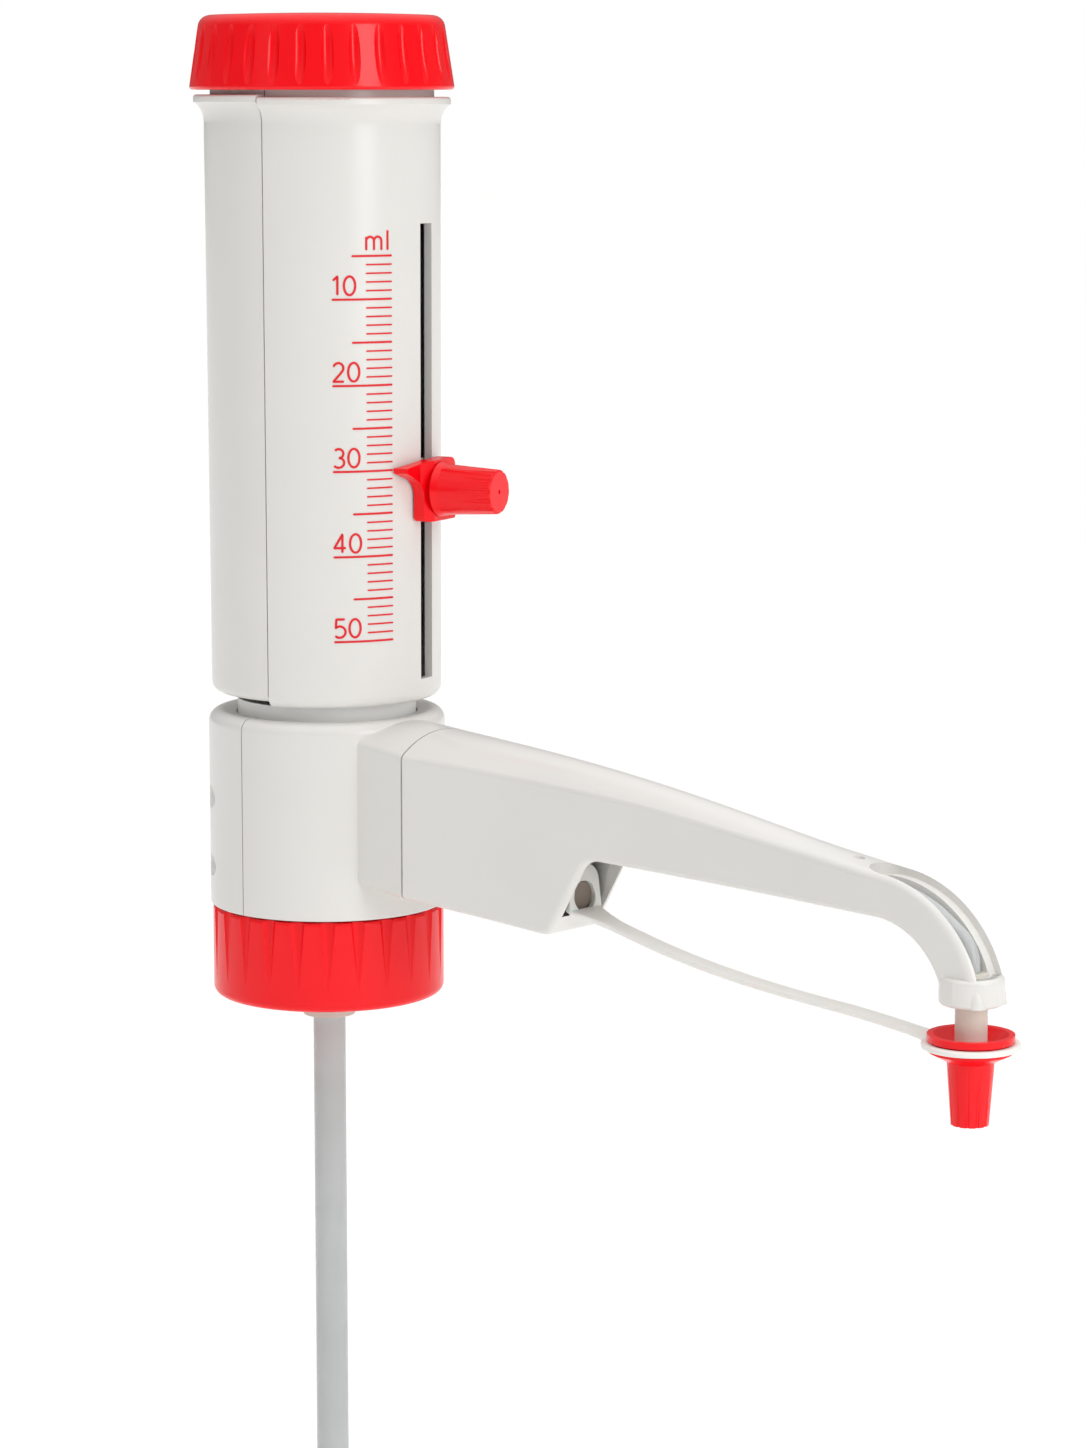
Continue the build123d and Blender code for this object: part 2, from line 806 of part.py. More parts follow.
def hollow(inset, start, end):
    """Solid that fills the arm's root and beam between two stations, inside walls of this thickness."""
    belly, apex = notch_corners(inset)
    with BuildPart() as form:
        with BuildSketch(Plane.XZ) as side:
            with BuildLine():
                Polyline(
                    (cavity_end, arm_under(cavity_end) + inset),
                    (cavity_end, arm_edge(cavity_end) - inset),
                    (stub_start, arm_edge(stub_start) - inset),
                    (stub_start, arm_base(stub_start) + inset),
                    belly,
                    apex,
                    close=True,
                )
            make_face()
            fillet(side.vertices().sort_by_distance(belly)[0], belly_radius)
            fillet(side.vertices().sort_by_distance(apex)[0], notch_radius)
        extrude(amount=arm_root_width, both=True)
        with BuildSketch():
            with BuildLine():
                arm_plan(inset, stub_start)
            make_face()
            mirror(about=Plane.XZ)
        extrude(amount=high, mode=Mode.INTERSECT)
        split(bisect_by=Plane.YZ.offset(start), keep=Keep.TOP)
        split(bisect_by=Plane.YZ.offset(end), keep=Keep.BOTTOM)
    return form


# Outer form of stub and arm in one run, with a crowned top and rounded edges
cavity_end = neck_centre_x - 6.0
belly_corner, apex_corner = notch_corners(0)
with BuildPart() as arm_form:
    with BuildSketch(Plane.XZ) as arm_side:
        with BuildLine():
            CenterArc((neck_centre_x, neck_centre_z), neck_inner_radius, 0, 90 - degrees(under_turn))
            CenterArc((neck_centre_x, neck_centre_z), neck_outer_radius, 0, 90 - degrees(neck_turn))
            Line(
                (neck_centre_x + neck_inner_radius, neck_centre_z),
                (neck_centre_x + neck_outer_radius, neck_centre_z),
            )
            Polyline(
                (neck_start_x, neck_start_z),
                (stub_start, high),
                (stub_start, arm_base(stub_start)),
                belly_corner,
                apex_corner,
                (under_end_x, under_end_z),
            )
        make_face()
        fillet(arm_side.vertices().sort_by_distance(belly_corner)[0], belly_radius)
        fillet(arm_side.vertices().sort_by_distance(apex_corner)[0], notch_radius)
    extrude(amount=arm_root_width, both=True)
    with BuildSketch():
        with BuildLine():
            arm_plan(0, stub_start)
        make_face()
        mirror(about=Plane.XZ)
    extrude(amount=high, mode=Mode.INTERSECT)
    add(crown_cutter.part, mode=Mode.SUBTRACT)
    split(bisect_by=Plane.XY.offset(collar_bottom), keep=Keep.TOP)
    side_edges = arm_form.edges().filter_by(lambda e: abs(e.center().Y) > arm_tip_width / 2 - 0.5)
    side_edges = side_edges.filter_by(lambda e: e.bounding_box().size.X > 1)
    crown_edges = side_edges.filter_by(lambda e: e.center().Z > arm_edge(e.center().X) - 1)
    neck_edges = side_edges.filter_by(lambda e: e.center().X > neck_start_x)
    fillet(crown_edges + neck_edges.sort_by(Axis.Z)[-2:], arm_round)
    low_edges = arm_form.edges().filter_by(lambda e: abs(e.center().Y) > arm_tip_width / 2 - 0.5)
    low_edges = low_edges.filter_by(lambda e: e.center().Z < arm_edge(e.center().X) - 2 * arm_round)
    low_edges = low_edges.filter_by(lambda e: e.center().Z > collar_bottom + 0.5)
    low_edges = low_edges.filter_by(lambda e: e.bounding_box().size.X > 0.5)
    fillet(low_edges.filter_by(lambda e: e.center().X < arm_reach), arm_round * 0.75)

# Valve block: two half shells, the front one with the stub that carries the arm
screw_places = [
    (side * screw_spread, block_bottom + level)
    for side in (-1, 1)
    for level in (screw_low, screw_high)
]

with BuildPart() as block_cover:
    with BuildSketch(Plane.XZ) as block_section:
        with BuildLine():
            Polyline(
                (core_neck_radius + running_gap, block_bottom),
                (block_radius, block_bottom),
                (block_radius, block_top),
                (block_opening_radius, opening_height),
                (block_opening_radius, opening_under),
                (block_inner_radius, opening_under),
                (block_inner_radius, core_base_bottom),
                (core_neck_radius + running_gap, core_base_bottom),
                close=True,
            )
        make_face()
        fillet(block_section.vertices().sort_by_distance((block_radius, block_top))[0], block_edge)
        fillet(block_section.vertices().sort_by_distance((block_radius, block_bottom))[0], block_foot_edge)
    revolve(axis=Axis.Z)

with BuildPart() as screw_bosses:
    with BuildSketch(Plane.YZ.offset(-block_radius)):
        with Locations(screw_places):
            Circle(screw_boss_radius)
    extrude(amount=block_radius + screw_thread_depth)
    with BuildSketch():
        Circle(block_radius - block_wall / 2)
    extrude(amount=high, mode=Mode.INTERSECT)

with BuildPart() as stub:
    add(arm_form.part)
    split(bisect_by=Plane.YZ.offset(arm_seam - arm_seam_gap / 2), keep=Keep.BOTTOM)
    with BuildSketch():
        Circle(block_radius - block_wall / 2)
    extrude(amount=high, mode=Mode.SUBTRACT)

stub_hollow = hollow(arm_wall, stub_start, arm_seam)
with BuildPart() as block_front_shell:
    add(block_cover.part)
    add(screw_bosses.part)
    split(bisect_by=Plane.YZ.offset(seam_gap / 2), keep=Keep.TOP)
    add(stub.part)
    add(stub_hollow.part, mode=Mode.SUBTRACT)
    with BuildSketch(Plane.YZ):
        with Locations(screw_places):
            Circle(screw_radius)
    extrude(amount=screw_length - screw_recess + overrun, mode=Mode.SUBTRACT)
write(block_front_shell, "block_front_shell")

with BuildPart() as block_rear_shell:
    add(block_cover.part)
    add(screw_bosses.part)
    split(bisect_by=Plane.YZ.offset(-seam_gap / 2), keep=Keep.BOTTOM)
    with BuildSketch(Plane.YZ.offset(-screw_recess)):
        with Locations(screw_places):
            Circle(screw_head_radius + screw_hole_gap)
    extrude(amount=-block_radius, mode=Mode.SUBTRACT)
    with BuildSketch(Plane.YZ.offset(-screw_recess)):
        with Locations(screw_places):
            Circle(screw_radius + screw_hole_gap)
    extrude(amount=screw_recess, mode=Mode.SUBTRACT)
write(block_rear_shell, "block_rear_shell")

with BuildPart() as block_screws:
    with BuildSketch(Plane.YZ.offset(-screw_recess)):
        with Locations(screw_places):
            Circle(screw_head_radius)
    extrude(amount=-screw_head_height)
    with BuildSketch(Plane.YZ.offset(-screw_recess)):
        with Locations(screw_places):
            Circle(screw_radius - running_gap)
    extrude(amount=screw_length)
    with BuildSketch(Plane.YZ.offset(-screw_recess - screw_head_height)):
        with Locations(screw_places):
            RegularPolygon(screw_radius, 6)
    extrude(amount=screw_drive_depth, mode=Mode.SUBTRACT)
write(block_screws, "block_screws")

# Outlet valve: horizontal body from the core to the notch, spout for the tube, ball between them
outlet_seat = outlet_height + outlet_seat_rise
outlet_ball_height = outlet_seat + sqrt(outlet_ball_radius ** 2 - outlet_seat_radius ** 2) + ball_gap
outlet_chamber_top = outlet_ball_height + outlet_ball_radius + outlet_lift + ball_gap
outlet_boss_top = outlet_chamber_top + outlet_plug_depth
tube_socket = tube_radius + tube_wall_gap
with BuildPart() as outlet_valve_body:
    with BuildSketch(Plane.YZ.offset(outlet_socket_start)):
        with Locations((0, outlet_height)):
            Circle(outlet_body_radius)
    extrude(amount=outlet_end_start - outlet_socket_start)
    with BuildSketch(Plane.YZ.offset(outlet_end_start)):
        with Locations((0, outlet_height - outlet_end_drop)):
            Circle(outlet_end_radius)
    extrude(amount=outlet_end_length)
    with BuildSketch(Plane.YZ.offset(outlet_end_start)):
        with Locations((0, outlet_height - outlet_nose_drop)):
            Circle(outlet_nose_radius)
    extrude(amount=outlet_nose_end - outlet_end_start)
    with BuildSketch(Plane.XY.offset(outlet_height)):
        with Locations((outlet_x, 0)):
            Circle(outlet_boss_radius)
    extrude(amount=outlet_boss_top - outlet_height)
    with BuildSketch(Plane.YZ.offset(outlet_socket_start)):
        with Locations((0, outlet_height)):
            Circle(outlet_seat_radius)
    extrude(amount=outlet_x - outlet_socket_start, mode=Mode.SUBTRACT)
    for radius, level in (
        (outlet_seat_radius, outlet_height),
        (outlet_chamber_radius, outlet_seat),
        (outlet_plug_radius + running_gap, outlet_chamber_top),
    ):
        with BuildSketch(Plane.XY.offset(level)):
            with Locations((outlet_x, 0)):
                Circle(radius)
        extrude(amount=outlet_boss_top - level, mode=Mode.SUBTRACT)
write(outlet_valve_body, "outlet_valve_body")

with BuildPart() as outlet_valve_spout:
    for radius, level, rise in (
        (outlet_plug_radius, outlet_chamber_top, outlet_plug_depth),
        (outlet_boss_radius, outlet_boss_top, outlet_flange),
        (outlet_spout_radius, outlet_boss_top + outlet_flange, outlet_spout_height),
    ):
        with BuildSketch(Plane.XY.offset(level)):
            with Locations((outlet_x, 0)):
                Circle(radius)
        extrude(amount=rise)
    spout_top = outlet_boss_top + outlet_flange + outlet_spout_height
    with BuildSketch(Plane.XY.offset(outlet_chamber_top)):
        with Locations((outlet_x, 0)):
            Circle(tube_bore)
    extrude(amount=spout_top - outlet_chamber_top, mode=Mode.SUBTRACT)
    with BuildSketch(Plane.XY.offset(outlet_boss_top)):
        with Locations((outlet_x, 0)):
            Circle(tube_socket)
    extrude(amount=spout_top - outlet_boss_top, mode=Mode.SUBTRACT)
write(outlet_valve_spout, "outlet_valve_spout")

with BuildPart(Plane.XY.offset(outlet_ball_height)) as outlet_ball:
    with Locations((outlet_x, 0)):
        Sphere(outlet_ball_radius)
write(outlet_ball, "outlet_ball")

# Discharge tube from the spout through the arm and along the neck's groove into the nozzle tip
tip_top = collar_bottom + collar_height + tip_rise
tip_socket = collar_bottom + 2 * tip_rise
tube_run = [(outlet_x, tube_top), tube_middle, tube_shoulder, (arm_reach, tube_drop_height)]
with BuildPart() as discharge_tube:
    with BuildLine(Plane.XZ):
        FilletPolyline(
            (outlet_x, outlet_boss_top),
            *tube_run,
            (arm_reach, tip_socket),
            radius=[tube_bend, tube_middle_bend, tube_shoulder_bend, tube_tip_bend],
        )
    with BuildSketch(Plane.XY.offset(outlet_boss_top)):
        with Locations((outlet_x, 0)):
            Circle(tube_radius)
            Circle(tube_bore, mode=Mode.SUBTRACT)
    sweep()
write(discharge_tube, "discharge_tube")


def neck_groove(width, radius, start):
    """Groove that runs along the neck's back from a rounded end down to the collar."""
    with BuildPart() as groove:
        with BuildSketch(Plane.XZ):
            with Locations((neck_centre_x, neck_centre_z)):
                Circle(neck_outer_radius + overrun)
                Circle(radius, mode=Mode.SUBTRACT)
        extrude(amount=width / 2, both=True)
        with BuildSketch(Plane.XY.offset(collar_bottom + collar_height)):
            with Locations((start + width / 2, 0)):
                Circle(width / 2)
                Rectangle(arm_reach, width, align=(Align.MIN, Align.CENTER))
        extrude(amount=high, mode=Mode.INTERSECT)
    return groove


# Arm housing: hollow beam with a spigot in the stub, a window in the notch and a groove on the neck
hand_groove = neck_groove(hand_groove_width, hand_groove_radius, hand_groove_start)
tube_groove = neck_groove(tube_groove_width, tube_groove_radius, tube_groove_start)
window_lean = 1 / notch_slope
arm_front = arm_seam + arm_seam_gap / 2
spigot_hollow = hollow(arm_wall + spigot_gap + spigot_wall, stub_start, arm_front + spigot_length / 2)
spigot_outside = hollow(arm_wall + spigot_gap, arm_front - spigot_length, arm_front)
main_hollow = hollow(arm_wall, arm_front + spigot_length / 2, arm_reach)
tunnel_half = tube_groove_width / 2
with BuildPart() as arm_housing:
    add(arm_form.part)
    split(bisect_by=Plane.YZ.offset(arm_front), keep=Keep.TOP)
    add(main_hollow.part, mode=Mode.SUBTRACT)
    add(spigot_outside.part)
    add(spigot_hollow.part, mode=Mode.SUBTRACT)
    with BuildSketch(Plane.XZ):
        with BuildLine():
            sill_x = notch_foot_x + (window_sill - notch_foot_z) * window_lean
            lintel_x = notch_foot_x + (apex_corner[1] - notch_foot_z) * window_lean
            Polyline(
                (sill_x - 2 * arm_wall, window_sill),
                (sill_x + arm_wall, window_sill),
                (lintel_x + arm_wall, apex_corner[1]),
                (lintel_x - 2 * arm_wall, apex_corner[1]),
                close=True,
            )
        make_face()
    extrude(amount=window_width / 2, both=True, mode=Mode.SUBTRACT)
    with BuildSketch(Plane.YZ.offset(cavity_end - overrun)):
        with Locations((0, tube_shoulder[1] + overrun)):
            RectangleRounded(tube_groove_width, tube_groove_width, tunnel_half * 0.9)
    extrude(amount=tube_groove_start + tube_groove_width - cavity_end, mode=Mode.SUBTRACT)
    add(hand_groove.part, mode=Mode.SUBTRACT)
    add(tube_groove.part, mode=Mode.SUBTRACT)
    with BuildSketch(Plane.XY.offset(arm_edge(dimple_x) + dimple_depth)):
        with Locations((dimple_x, 0)):
            Circle(dimple_radius)
    extrude(amount=high, mode=Mode.SUBTRACT)
    with BuildSketch(Plane.XY.offset(collar_bottom)):
        with Locations((arm_reach, 0)):
            Circle(collar_radius)
    extrude(amount=collar_height)
    with BuildSketch(Plane.XY.offset(collar_bottom)):
        with Locations((arm_reach, 0)):
            Circle(tip_radius + running_gap)
    extrude(amount=tip_top - collar_bottom, mode=Mode.SUBTRACT)
write(arm_housing, "arm_housing")

with BuildPart() as nozzle_tip:
    with BuildSketch(Plane.XY.offset(tip_end)):
        with Locations((arm_reach, 0)):
            Circle(tip_radius)
            Circle(tip_bore, mode=Mode.SUBTRACT)
    extrude(amount=tip_top - tip_end)
    with BuildSketch(Plane.XY.offset(tip_socket)):
        with Locations((arm_reach, 0)):
            Circle(tube_socket)
    extrude(amount=tip_top - tip_socket, mode=Mode.SUBTRACT)
    chamfer(nozzle_tip.faces().sort_by(Axis.Z)[0].outer_wire().edges(), tip_chamfer)
write(nozzle_tip, "nozzle_tip")

# Closure cap: dish, groove for the strap's ring, cone and fluted stem with a blind bore
rim_bottom = closure_rim_top - closure_rim_height
bead_top = strap_ring_bottom - free_gap
bore_gap = tip_radius + running_gap
bore_mouth = tip_end + closure_bore_mouth
with BuildPart() as stem_flute:
    with BuildSketch(Plane.XY.offset(stem_end - overrun)):
        with Locations((arm_reach + stem_bottom_radius, 0)):
            Circle(stem_flute_depth)
    with BuildSketch(Plane.XY.offset(closure_cone_bottom - overrun)):
        with Locations((arm_reach + stem_top_radius + stem_flute_depth * 0.6, 0)):
            Circle(stem_flute_depth)
    loft()

with BuildPart() as closure_cap:
    with BuildSketch(Plane.XZ):
        with BuildLine():
            Polyline(
                (arm_reach, stem_end),
                (arm_reach + stem_bottom_radius, stem_end),
                (arm_reach + stem_top_radius, closure_cone_bottom),
                (arm_reach + closure_neck_radius + closure_bead, bead_top - closure_bead),
                (arm_reach + closure_neck_radius + closure_bead, bead_top),
                (arm_reach + closure_neck_radius, bead_top),
                (arm_reach + closure_neck_radius, rim_bottom),
                (arm_reach + closure_rim_radius, rim_bottom),
                (arm_reach + closure_rim_radius, closure_rim_top),
                (arm_reach + closure_rim_radius - closure_wall, closure_rim_top),
                (arm_reach + bore_gap + closure_bore_flare, bore_mouth + closure_bore_flare),
                (arm_reach + bore_gap, bore_mouth),
                (arm_reach + bore_gap, closure_bore_bottom),
                (arm_reach, closure_bore_bottom),
                close=True,
            )
        make_face()
    revolve(axis=Axis((arm_reach, 0, 0), (0, 0, 1)))
    with Locations((arm_reach, 0)):
        with PolarLocations(0, stem_flutes):
            add(stem_flute.part.moved(Location((-arm_reach, 0, 0))), mode=Mode.SUBTRACT)
write(closure_cap, "closure_cap")

# Closure strap: upright eyelet round the valve's nose, band with a wide root, ring in the closure's groove
lean = radians(eyelet_lean)
strap_level = strap_ring_bottom + strap_ring_height / 2
strap_start_x, strap_start_z = strap_points[0]
eyelet_bottom = strap_start_z - strap_thickness / 2
eyelet_length = eyelet_top - eyelet_bottom
eyelet_plane = Plane(
    origin=(strap_start_x + eyelet_thickness / 2, 0, eyelet_bottom),
    x_dir=(0, 1, 0),
    z_dir=(cos(lean), 0, sin(lean)),
)
with BuildPart() as strap_root:
    with BuildLine(Plane.XZ):
        strap_path = FilletPolyline(
            *strap_points,
            (arm_reach - closure_neck_radius - slider_gap - strap_thickness, strap_level),
            radius=strap_bend,
        )
    with BuildSketch(Plane(origin=strap_path @ 0, z_dir=strap_path % 0, x_dir=(0, 1, 0))):
        Rectangle(eyelet_width, strap_thickness)
    sweep()
    with BuildSketch():
        with BuildLine():
            Polyline(
                (strap_start_x - overrun, eyelet_width / 2),
                (strap_start_x + eyelet_thickness / 2, eyelet_width / 2),
                (strap_start_x + strap_root_length * 0.4, strap_width * 0.68),
                (strap_start_x + strap_root_length, strap_width / 2),
                (arm_reach, strap_width / 2),
                (arm_reach, 0),
                (strap_start_x - overrun, 0),
                close=True,
            )
        make_face()
        mirror(about=Plane.XZ)
    extrude(amount=high, mode=Mode.INTERSECT)

with BuildPart() as closure_strap:
    with BuildSketch(eyelet_plane) as eyelet_outline:
        Rectangle(eyelet_width, eyelet_length, align=(Align.CENTER, Align.MIN))
        fillet(eyelet_outline.vertices().group_by(Axis.Z)[-1], eyelet_corner)
    extrude(amount=-eyelet_thickness)
    add(strap_root.part)
    with BuildSketch(Plane.YZ.offset(outlet_end_start)):
        with Locations((0, outlet_height - outlet_nose_drop)):
            Circle(eyelet_hole_radius)
    extrude(amount=strap_start_x + strap_root_length / 3 - outlet_end_start, mode=Mode.SUBTRACT)
    with BuildSketch(Plane.XY.offset(strap_ring_bottom)):
        with Locations((arm_reach, 0)):
            Circle(strap_ring_radius)
    extrude(amount=strap_ring_height)
    with BuildSketch(Plane.XY.offset(strap_ring_bottom - strap_ring_height)):
        with Locations((arm_reach, 0)):
            Circle(closure_neck_radius + slider_gap)
    extrude(amount=3 * strap_ring_height, mode=Mode.SUBTRACT)
write(closure_strap, "closure_strap")

# Volume slider: block with its pointer, its tongue in the slot, and the foot inside the casing
foot_outside = casing_bottom_radius - casing_wall - free_gap
with BuildPart() as pointer_slider:
    with BuildSketch(outward_plane(slot_angle, foot_outside - overrun, 0)) as slider_outline:
        with BuildLine():
            Polyline(
                (-pointer_reach, pointer_height + pointer_half),
                slider_crest,
                (slider_right, slider_top),
                (slider_right, slider_bottom),
                (-slider_left, slider_bottom),
                slider_waist,
            )
            ThreePointArc(slider_waist, slider_waist_turn, slider_waist_end)
            Polyline(
                slider_waist_end,
                (-pointer_reach, pointer_height - pointer_half),
                (-pointer_reach, pointer_height + pointer_half),
            )
        make_face()
        for corner, radius in (
            ((slider_right, slider_top), slider_corner),
            ((slider_right, slider_bottom), slider_corner / 3),
            ((-slider_left, slider_bottom), slider_corner / 2),
        ):
            fillet(slider_outline.vertices().sort_by_distance(corner)[0], radius)
    extrude(amount=slider_face - foot_outside + overrun)
    with BuildSketch(Plane.XY.offset(slider_bottom - overrun)):
        with PolarLocations(0, 1, start_angle=slot_angle):
            Polygon(
                (slider_face, slider_crest[0]),
                (pointer_shoulder, -slider_left - overrun),
                (pointer_face, -pointer_reach - overrun),
                (slider_face + overrun, -pointer_reach - overrun),
                (slider_face + overrun, slider_crest[0]),
                align=None,
            )
    extrude(amount=slider_top - slider_bottom + 2 * overrun, mode=Mode.SUBTRACT)
    with BuildSketch(Plane.XY.offset(slider_bottom - overrun)):
        Circle(casing_top_radius + slider_gap)
    extrude(amount=slider_top - slider_bottom + 2 * overrun, mode=Mode.SUBTRACT)
    with BuildSketch(outward_plane(slot_angle, foot_outside - overrun, 0)):
        with Locations((0, slider_centre)):
            Rectangle(slider_tongue_width, slider_tongue_height)
    extrude(amount=slider_face - foot_outside - overrun)
    with BuildSketch(Plane.XY.offset(slider_bottom - overrun)):
        Circle(foot_outside)
    extrude(amount=slider_top - slider_bottom + 2 * overrun, mode=Mode.SUBTRACT)
    with BuildSketch(outward_plane(slot_angle, 0, 0)):
        with Locations((0, slider_centre)):
            Circle(clamp_screw_radius + clamp_hole_gap)
    extrude(amount=slider_face + overrun, mode=Mode.SUBTRACT)
write(pointer_slider, "pointer_slider")

foot_inside = foot_outside - foot_thickness
with BuildPart() as slider_foot:
    with BuildSketch(outward_plane(slot_angle, foot_inside, 0)):
        with Locations((0, slider_centre)):
            RectangleRounded(foot_width, foot_height, foot_corner)
    extrude(amount=foot_thickness)
    with BuildSketch(outward_plane(slot_angle, sleeve_radius + free_gap, 0)):
        with Locations((0, slider_centre)):
            Rectangle(foot_key_width, foot_height)
    extrude(amount=foot_inside - sleeve_radius)
    with BuildSketch(Plane.XY.offset(slider_bottom - overrun)):
        Circle(foot_outside)
    extrude(amount=slider_top - slider_bottom + 2 * overrun, mode=Mode.INTERSECT)
    with BuildSketch(outward_plane(slot_angle, foot_inside - overrun, 0)):
        with Locations((0, slider_centre)):
            Circle(clamp_screw_radius + running_gap)
    extrude(amount=foot_thickness + 2 * overrun, mode=Mode.SUBTRACT)
write(slider_foot, "slider_foot")

# Clamping knob and its screw, on a radial axis through the slider
knob_start = slider_face + knob_gap
knob_end = knob_start + knob_length
with BuildPart() as clamp_screw:
    with BuildSketch(outward_plane(slot_angle, foot_inside, 0)):
        with Locations((0, slider_centre)):
            Circle(clamp_screw_radius)
    extrude(amount=knob_end - foot_inside - knob_blind)
write(clamp_screw, "clamp_screw")

with BuildPart() as knob_flute:
    with BuildSketch(outward_plane(slot_angle, knob_end + overrun, slider_centre)):
        with Locations((0, knob_end_radius + knob_flute_radius * 0.35)):
            Circle(knob_flute_radius)
    with BuildSketch(outward_plane(slot_angle, knob_start + knob_smooth, slider_centre)):
        with Locations((0, knob_root_radius + 0.15)):
            Circle(knob_flute_radius / 6)
    loft()

knob_axis = Axis((0, 0, slider_centre), outward_plane(slot_angle, 0, 0).z_dir)
with BuildPart() as clamp_knob:
    with BuildSketch(radial_plane(slot_angle)) as knob_section:
        with BuildLine():
            Polyline(
                (knob_start, slider_centre + clamp_screw_radius),
                (knob_start, slider_centre + knob_base_radius),
                (knob_start + knob_flare, slider_centre + knob_root_radius),
                (knob_end, slider_centre + knob_end_radius),
                (knob_end, slider_centre + knob_dimple_radius),
                (knob_end - knob_dimple_depth, slider_centre + knob_dimple_radius),
                (knob_end - knob_dimple_depth, slider_centre),
                (knob_end - knob_blind, slider_centre),
                (knob_end - knob_blind, slider_centre + clamp_screw_radius),
                close=True,
            )
        make_face()
        knob_rim = (knob_end, slider_centre + knob_end_radius)
        fillet(knob_section.vertices().sort_by_distance(knob_rim)[0], knob_edge)
    revolve(axis=knob_axis)
    for index in range(knob_flutes):
        add(knob_flute.part.rotate(knob_axis, 360 * index / knob_flutes), mode=Mode.SUBTRACT)
write(clamp_knob, "clamp_knob")
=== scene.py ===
import math
import bpy
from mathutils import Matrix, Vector


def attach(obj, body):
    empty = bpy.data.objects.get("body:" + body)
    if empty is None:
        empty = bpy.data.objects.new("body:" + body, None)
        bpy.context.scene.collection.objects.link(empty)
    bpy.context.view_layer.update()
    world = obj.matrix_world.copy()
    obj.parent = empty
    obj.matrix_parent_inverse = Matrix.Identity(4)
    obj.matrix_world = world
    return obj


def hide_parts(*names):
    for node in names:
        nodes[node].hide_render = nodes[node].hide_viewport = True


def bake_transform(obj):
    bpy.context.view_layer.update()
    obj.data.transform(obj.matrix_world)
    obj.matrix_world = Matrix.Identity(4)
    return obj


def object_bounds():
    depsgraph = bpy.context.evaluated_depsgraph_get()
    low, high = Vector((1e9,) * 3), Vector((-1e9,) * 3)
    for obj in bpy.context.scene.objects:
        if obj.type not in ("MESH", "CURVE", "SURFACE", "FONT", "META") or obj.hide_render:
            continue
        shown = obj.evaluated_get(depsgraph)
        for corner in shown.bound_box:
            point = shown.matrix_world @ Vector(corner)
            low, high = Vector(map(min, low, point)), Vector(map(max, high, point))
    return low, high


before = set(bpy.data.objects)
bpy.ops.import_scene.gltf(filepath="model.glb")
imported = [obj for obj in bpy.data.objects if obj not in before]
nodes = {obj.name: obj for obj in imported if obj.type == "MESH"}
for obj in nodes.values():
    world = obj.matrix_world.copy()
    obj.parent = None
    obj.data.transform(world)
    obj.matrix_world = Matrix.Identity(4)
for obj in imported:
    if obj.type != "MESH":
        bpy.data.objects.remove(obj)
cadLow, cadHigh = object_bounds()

# 1 Blender unit is 1 metre; the dictionaries below give lengths in millimetres and angles in degrees
mm = 0.001


def linear(hexColour):
    # sRGB hex to the linear RGBA that the shaders want
    parts = [int(hexColour[i:i + 2], 16) / 255 for i in (0, 2, 4)]
    return [p / 12.92 if p <= 0.04045 else ((p + 0.055) / 1.055) ** 2.4 for p in parts] + [1.0]


def addNode(tree, kind, links, **settings):
    # adds one node; links gives each socket a value or another node's output
    node = tree.nodes.new(kind)
    for name, value in settings.items():
        setattr(node, name, value)
    for socket, value in links.items():
        if isinstance(value, bpy.types.NodeSocket):
            tree.links.new(value, node.inputs[socket])
        else:
            node.inputs[socket].default_value = value
    return node


def skin(name, sections, closed=False):
    # stretches quads over a row of equal point loops, given in millimetres
    count = len(sections[0])
    points = [Vector(p) * mm for loop in sections for p in loop]
    faces = []
    last = len(sections) if closed else len(sections) - 1
    for i in range(last):
        a = i * count
        b = (i + 1) % len(sections) * count
        for j in range(count):
            k = (j + 1) % count
            faces.append((a + j, a + k, b + k, b + j))
    if not closed:
        faces.append(tuple(reversed(range(count))))
        faces.append(tuple(range((len(sections) - 1) * count, len(sections) * count)))
    mesh = bpy.data.meshes.new(name)
    mesh.from_pydata(points, [], faces)
    return mesh


def joined(name, meshes, material, sharp=32):
    # one object out of several meshes, smooth up to the sharp angle
    vertices, faces = [], []
    for mesh in meshes:
        start = len(vertices)
        vertices += [v.co.copy() for v in mesh.vertices]
        faces += [[start + v for v in p.vertices] for p in mesh.polygons]
    whole = bpy.data.meshes.new(name)
    whole.from_pydata(vertices, [], faces)
    whole.validate()
    whole.update()
    piece = bpy.data.objects.new(name, whole)
    bpy.context.scene.collection.objects.link(piece)
    for polygon in whole.polygons:
        polygon.use_smooth = True
    whole.set_sharp_from_angle(angle=math.radians(sharp))
    whole.materials.append(material)
    return piece


def faceOutwards(piece):
    # turns every face's normal to the outside of its own shell
    bpy.context.view_layer.objects.active = piece
    piece.select_set(True)
    bpy.ops.object.mode_set(mode="EDIT")
    bpy.ops.mesh.select_all(action="SELECT")
    bpy.ops.mesh.normals_make_consistent(inside=False)
    bpy.ops.object.mode_set(mode="OBJECT")
    piece.select_set(False)


